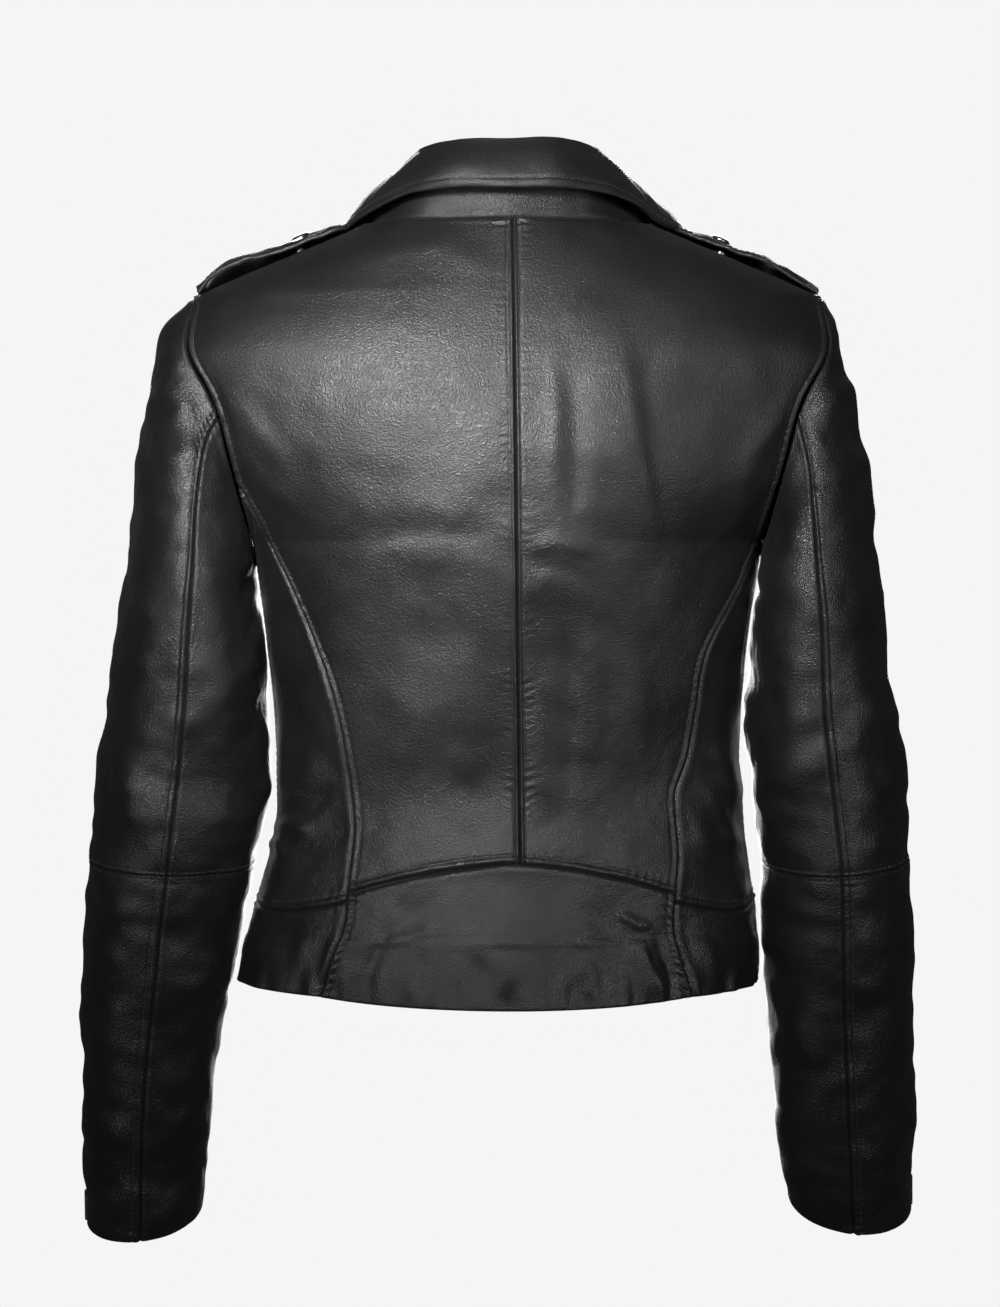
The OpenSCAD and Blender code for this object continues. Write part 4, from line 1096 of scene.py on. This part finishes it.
def lining_surface(u, drop, inset=0.0):
    """The body's lining, further in over the shoulders where the pads lie."""
    part = np.where(np.abs(u) > 1, 2 - np.abs(u), np.abs(u))
    room = PAD_ROOM * smooth((part - 0.45) / 0.2) * (1 - smooth((np.asarray(drop) - 70) / 50))
    inwards = unit(torso(u, drop, 2.0) - torso(u, drop))
    return torso(u, drop, LINING_INSET + inset) + inwards * room[..., None]


lining_edge = inner_edge(20)
piece = panel("lining_back_panel", lining_surface, level(-0.998), level(0.998), level(12),
              hem_line(-180, 180, LINING_SHORT), {"bottom": "plain"}, [LINING], torso_height, 5.0, 0.7)
sew(piece, "lining_back", body)
for word, side in (("left", 1), ("right", -1)):
    a, b = ordered(lining_edge(side), level(side * 1.003), side < 0)
    piece = panel(f"lining_front_{word}_panel", lining_surface, a, b, level(16),
                  hem_line(60, 180, LINING_SHORT) if side > 0 else hem_line(170, 30, LINING_SHORT),
                  {"bottom": "plain"}, [LINING], torso_height, 5.0, 0.7)
    sew(piece, f"lining_front_{word}", body)
    for half, near, far in (("back", 0.7, 0.88), ("front", 1.12, 1.3)):
        a, b = ordered(level(side * near), level(side * far), side < 0)
        piece = panel(f"shoulder_pad_{half}_{word}", torso, a, b, level(34), level(60),
                      ALL_TURNED, [WADDING],
                      None, 2.5, 2.6, inset=4.4)
        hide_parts(f"shoulder_pad_{word}")
        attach(piece, body)


def facing_edge(side):
    return back_u(lambda drop: side * np.minimum(110, edge_x(side, drop) * 0.8))


piece = panel("neck_facing_panel", torso, facing_edge(-1), facing_edge(1), level(2),
              lambda t: 42 - 10 * (2 * t - 1) ** 2, {"bottom": "plain"}, LEATHER, torso_height, 4.0, 0.9,
              inset=2.0)
sew(piece, "neck_facing", body)

# ---------------------------------------------------------------- loop, label


def loop_surface(x, up, inset=0.0):
    x, up = np.broadcast_arrays(np.asarray(x, float), np.asarray(up, float))
    t = np.clip((34 - np.abs(x)) / 16, 0, 1)
    out = 8.5 * smooth(t) + inset
    return np.stack([x, -11.2 - out, -9.0 + up - 5.0 * (1 - smooth(t))], -1)


loop = panel("hanger_strap", lambda a, b, inset=0.0: loop_surface(a, b, -inset), level(-34.0),
             level(34.0), level(6.0), level(0.0),
             ALL_TURNED, LEATHER, None, 1.2, 1.5, rows=[("top", 1.2), ("bottom", 1.2)])
sew(loop, "hanger_loop", body, held="hung")


def label_surface(x, up, inset=0.0):
    x, up = np.broadcast_arrays(np.asarray(x, float), np.asarray(up, float))
    return np.stack([x, -5.6 - inset - (up - 10) * 0.14, -38 + up + 0 * x], -1)


label = panel("size_label_tape", label_surface, level(-17.0), level(17.0), level(20.0), level(0.0),
              {"left": "turned", "right": "turned"}, [LABEL, THREAD], None, 1.2, 0.5,
              rows=[("left", 1.4), ("right", 1.4)])
sew(label, "size_label", body, "stretched")

# ---------------------------------------------------------------- lapels and epaulettes

LAPEL_TOP, LAPEL_WIDTH = 38.0, 56.0


def lapel_surface(side):
    fold_end = side * FRONT_TOP_X

    def surface(across, v, inset=0.0):
        across, v = np.broadcast_arrays(np.asarray(across, float), np.asarray(v, float))
        drop = mix(LAPEL_TOP, FRONT_TOP - 8, v)
        x = mix(90, fold_end, drop / FRONT_TOP) + 5 + (LAPEL_WIDTH * (1 - v) + 4) * across
        down = drop + 34 * (1 - v) * across
        u = side * (2 - side * share(True, side * x, down))
        roll = 3.2 * (1 - smooth(across * 3)) + 2.4 * np.sin(np.pi * np.clip(across, 0, 1))
        p = torso(u, down)
        return p - np.stack([0 * x, 1.6 + roll - inset, 0 * x], -1)
    return surface


for word, side in (("left", 1), ("right", -1)):
    a, b = ordered(lambda v: np.zeros(np.shape(v)), lambda v: np.ones(np.shape(v)), side < 0)
    piece = panel(f"lapel_{word}_flap", lapel_surface(side), a, b, level(0), level(1),
                  ALL_TURNED, LEATHER, collar_height, 2.4, 2.6,
                  rows=[("right" if side > 0 else "left", 6.4), ("top", 6.4)])
    sew(piece, f"lapel_{word}", body)

BOW = {1: [[105, 5], [130, 8], [153, 9], [171, 12], [186, 14.5], [197, 11], [207, 4]],
       -1: [[110, 5], [122, 6.5], [137, 8], [153, 8], [172, 10], [190, 8], [200, 6], [207, 4]]}
STRAP_HALF = 17.0


def epaulette_surface(side):
    bow = BOW[side]
    first = bow[0][0]

    def surface(x, v, inset=0.0):
        x, v = np.broadcast_arrays(np.asarray(x, float), np.asarray(v, float))
        reach = np.abs(x)
        blunt = np.sqrt(1 - np.clip(1 - (reach - first + 3) / 20, 0, 1) ** 2)
        shoulder = -TIP_DROP * (reach - NECK_HALF) / (TIP_HALF - NECK_HALF)
        drape = np.where(v < 0, 11.5, 3.4) * v * v + 0.5 * np.sin(reach / 7.0) * np.abs(v)
        high = shoulder + curve(bow, reach) - drape + 1.2 - inset
        return np.stack([x, -62 + v * STRAP_HALF * blunt, high], -1)
    return surface


for word, side in (("left", 1), ("right", -1)):
    first = BOW[side][0][0]
    left, right = (first, 207.0) if side > 0 else (-207.0, -first)
    free = "left" if side > 0 else "right"
    piece = panel(f"epaulette_{word}_strap", epaulette_surface(side), level(left), level(right),
                  level(1.0), level(-1.0),
                  {free: "turned", "top": "turned", "bottom": "turned"}, LEATHER,
                  lambda p, a, b: 0.5 * small_hills(p * 2), 1.8, 3.0, rows=[("top", 4.6), ("bottom", 4.6)])
    sew(piece, f"epaulette_{word}", f"epaulette_{word}")

# ---------------------------------------------------------------- zips on the fronts


def zip_run(name, replaced, side, x_at, half, from_drop, to_drop, tape_in, teeth_in):
    """Ribbed tape and a chain of metal teeth down the front, around the line x_at(drop)."""
    tape = panel(f"{name}_cloth", torso, front_u(lambda d: x_at(d) - half, side),
                 front_u(lambda d: x_at(d) + half, side), level(from_drop), level(to_drop),
                 {"left": "turned", "right": "turned"}, [TAPE], torso_height, 2.0, 0.8, inset=tape_in)
    sew(tape, replaced[0], body)
    line = np.linspace(from_drop + 1, to_drop - 1, 60)
    centre = front_u(x_at, side)
    path, normals = lifted_line(lambda d: torso(centre(d), d), lambda d: torso(centre(d), d, 3), line,
                                torso_height, lambda d: (centre(d), d))
    chain = zip_chain(f"{name}_chain", path, normals, teeth_in)
    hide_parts(*replaced)
    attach(chain, body)


zip_run("front_zip", ("front_zip_tape", "front_zip_teeth"), 1, zip_x, 13.0, 194, 517, 2.6, 0.2)


def pocket_x(side):
    return lambda drop: side * mix(66, 78, (np.asarray(drop, float) - 306) / 120)


for word, side in (("left", 1), ("right", -1)):
    zip_run(f"pocket_zip_{word}", (f"pocket_zip_{word}",), side, pocket_x(side), 6.0, 306, 426, -1.4, 2.9)

# ---------------------------------------------------------------- faces of the sheets
# Each sheet's face areas, material kinds and corners are read here, and nothing uses them.

for piece, held in sheets:
    mesh = piece.data
    areas = np.zeros(len(mesh.polygons))
    mesh.polygons.foreach_get("area", areas)
    kinds = np.zeros(len(mesh.polygons), np.int32)
    mesh.polygons.foreach_get("material_index", kinds)
    corners = np.zeros(len(mesh.vertices) * 3)
    mesh.vertices.foreach_get("co", corners)

# ---------------------------------------------------------------- stage and light

scene = bpy.context.scene
scene.view_settings.view_transform = "Standard"
world = bpy.data.worlds.new("studio")
scene.world = world
world.use_nodes = True
tree = world.node_tree
tree.nodes.clear()
out = tree.nodes.new("ShaderNodeOutputWorld")
seen = tree.nodes.new("ShaderNodeBackground")
seen.inputs["Color"].default_value = (0.913, 0.913, 0.913, 1)
light = tree.nodes.new("ShaderNodeBackground")
light.inputs["Color"].default_value = (1, 1, 1, 1)
light.inputs["Strength"].default_value = 0.03
choose = tree.nodes.new("ShaderNodeMixShader")
path = tree.nodes.new("ShaderNodeLightPath")
tree.links.new(path.outputs["Is Camera Ray"], choose.inputs["Fac"])
tree.links.new(light.outputs["Background"], choose.inputs[1])
tree.links.new(seen.outputs["Background"], choose.inputs[2])
tree.links.new(choose.outputs["Shader"], out.inputs["Surface"])


def softbox(name, place, aim, size, power, spread=180):
    data = bpy.data.lights.new(name, "AREA")
    data.shape = "RECTANGLE"
    data.size, data.size_y = size
    data.energy = power
    data.spread = math.radians(spread)
    lamp = bpy.data.objects.new(name, data)
    lamp.location = place
    lamp.rotation_euler = (Vector(aim) - Vector(place)).to_track_quat("-Z", "Y").to_euler()
    scene.collection.objects.link(lamp)


MIDDLE = (0, 0, -0.2)
softbox("key", (0.4, 1.45, 0.34), (0.05, 0, -0.12), (0.34, 0.34), 1.27, 25)
softbox("fill", (-1.3, 2.0, -0.1), (-0.15, 0, -0.5), (0.6, 0.9), 2.8, 80)
softbox("low", (1.4, 1.8, -0.4), (0.2, 0, -0.6), (0.5, 1.0), 2.0, 80)
softbox("top", (0.0, 0.4, 1.8), MIDDLE, (1.4, 0.8), 2.2)
softbox("front", (0.0, -2.5, 0.05), MIDDLE, (1.2, 1.6), 38, 110)

for o in bpy.data.objects:
    if o.type != "MESH" or "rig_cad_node" not in o:
        continue
    name = o.name
    if "cap" in name or "snaps" in name or "studs" in name:
        finish = DOME
    elif "slider" in name or "puller" in name:
        finish = NICKEL
    elif "teeth" in name or "zip_left" in name or "zip_right" in name:
        finish = NICKEL
    elif "tape" in name:
        finish = TAPE
    elif "lining" in name:
        finish = LINING
    elif "label" in name:
        finish = LABEL
    elif "pad" in name:
        finish = WADDING
    else:
        finish = SHELL
    for slot in o.material_slots:
        slot.material = finish
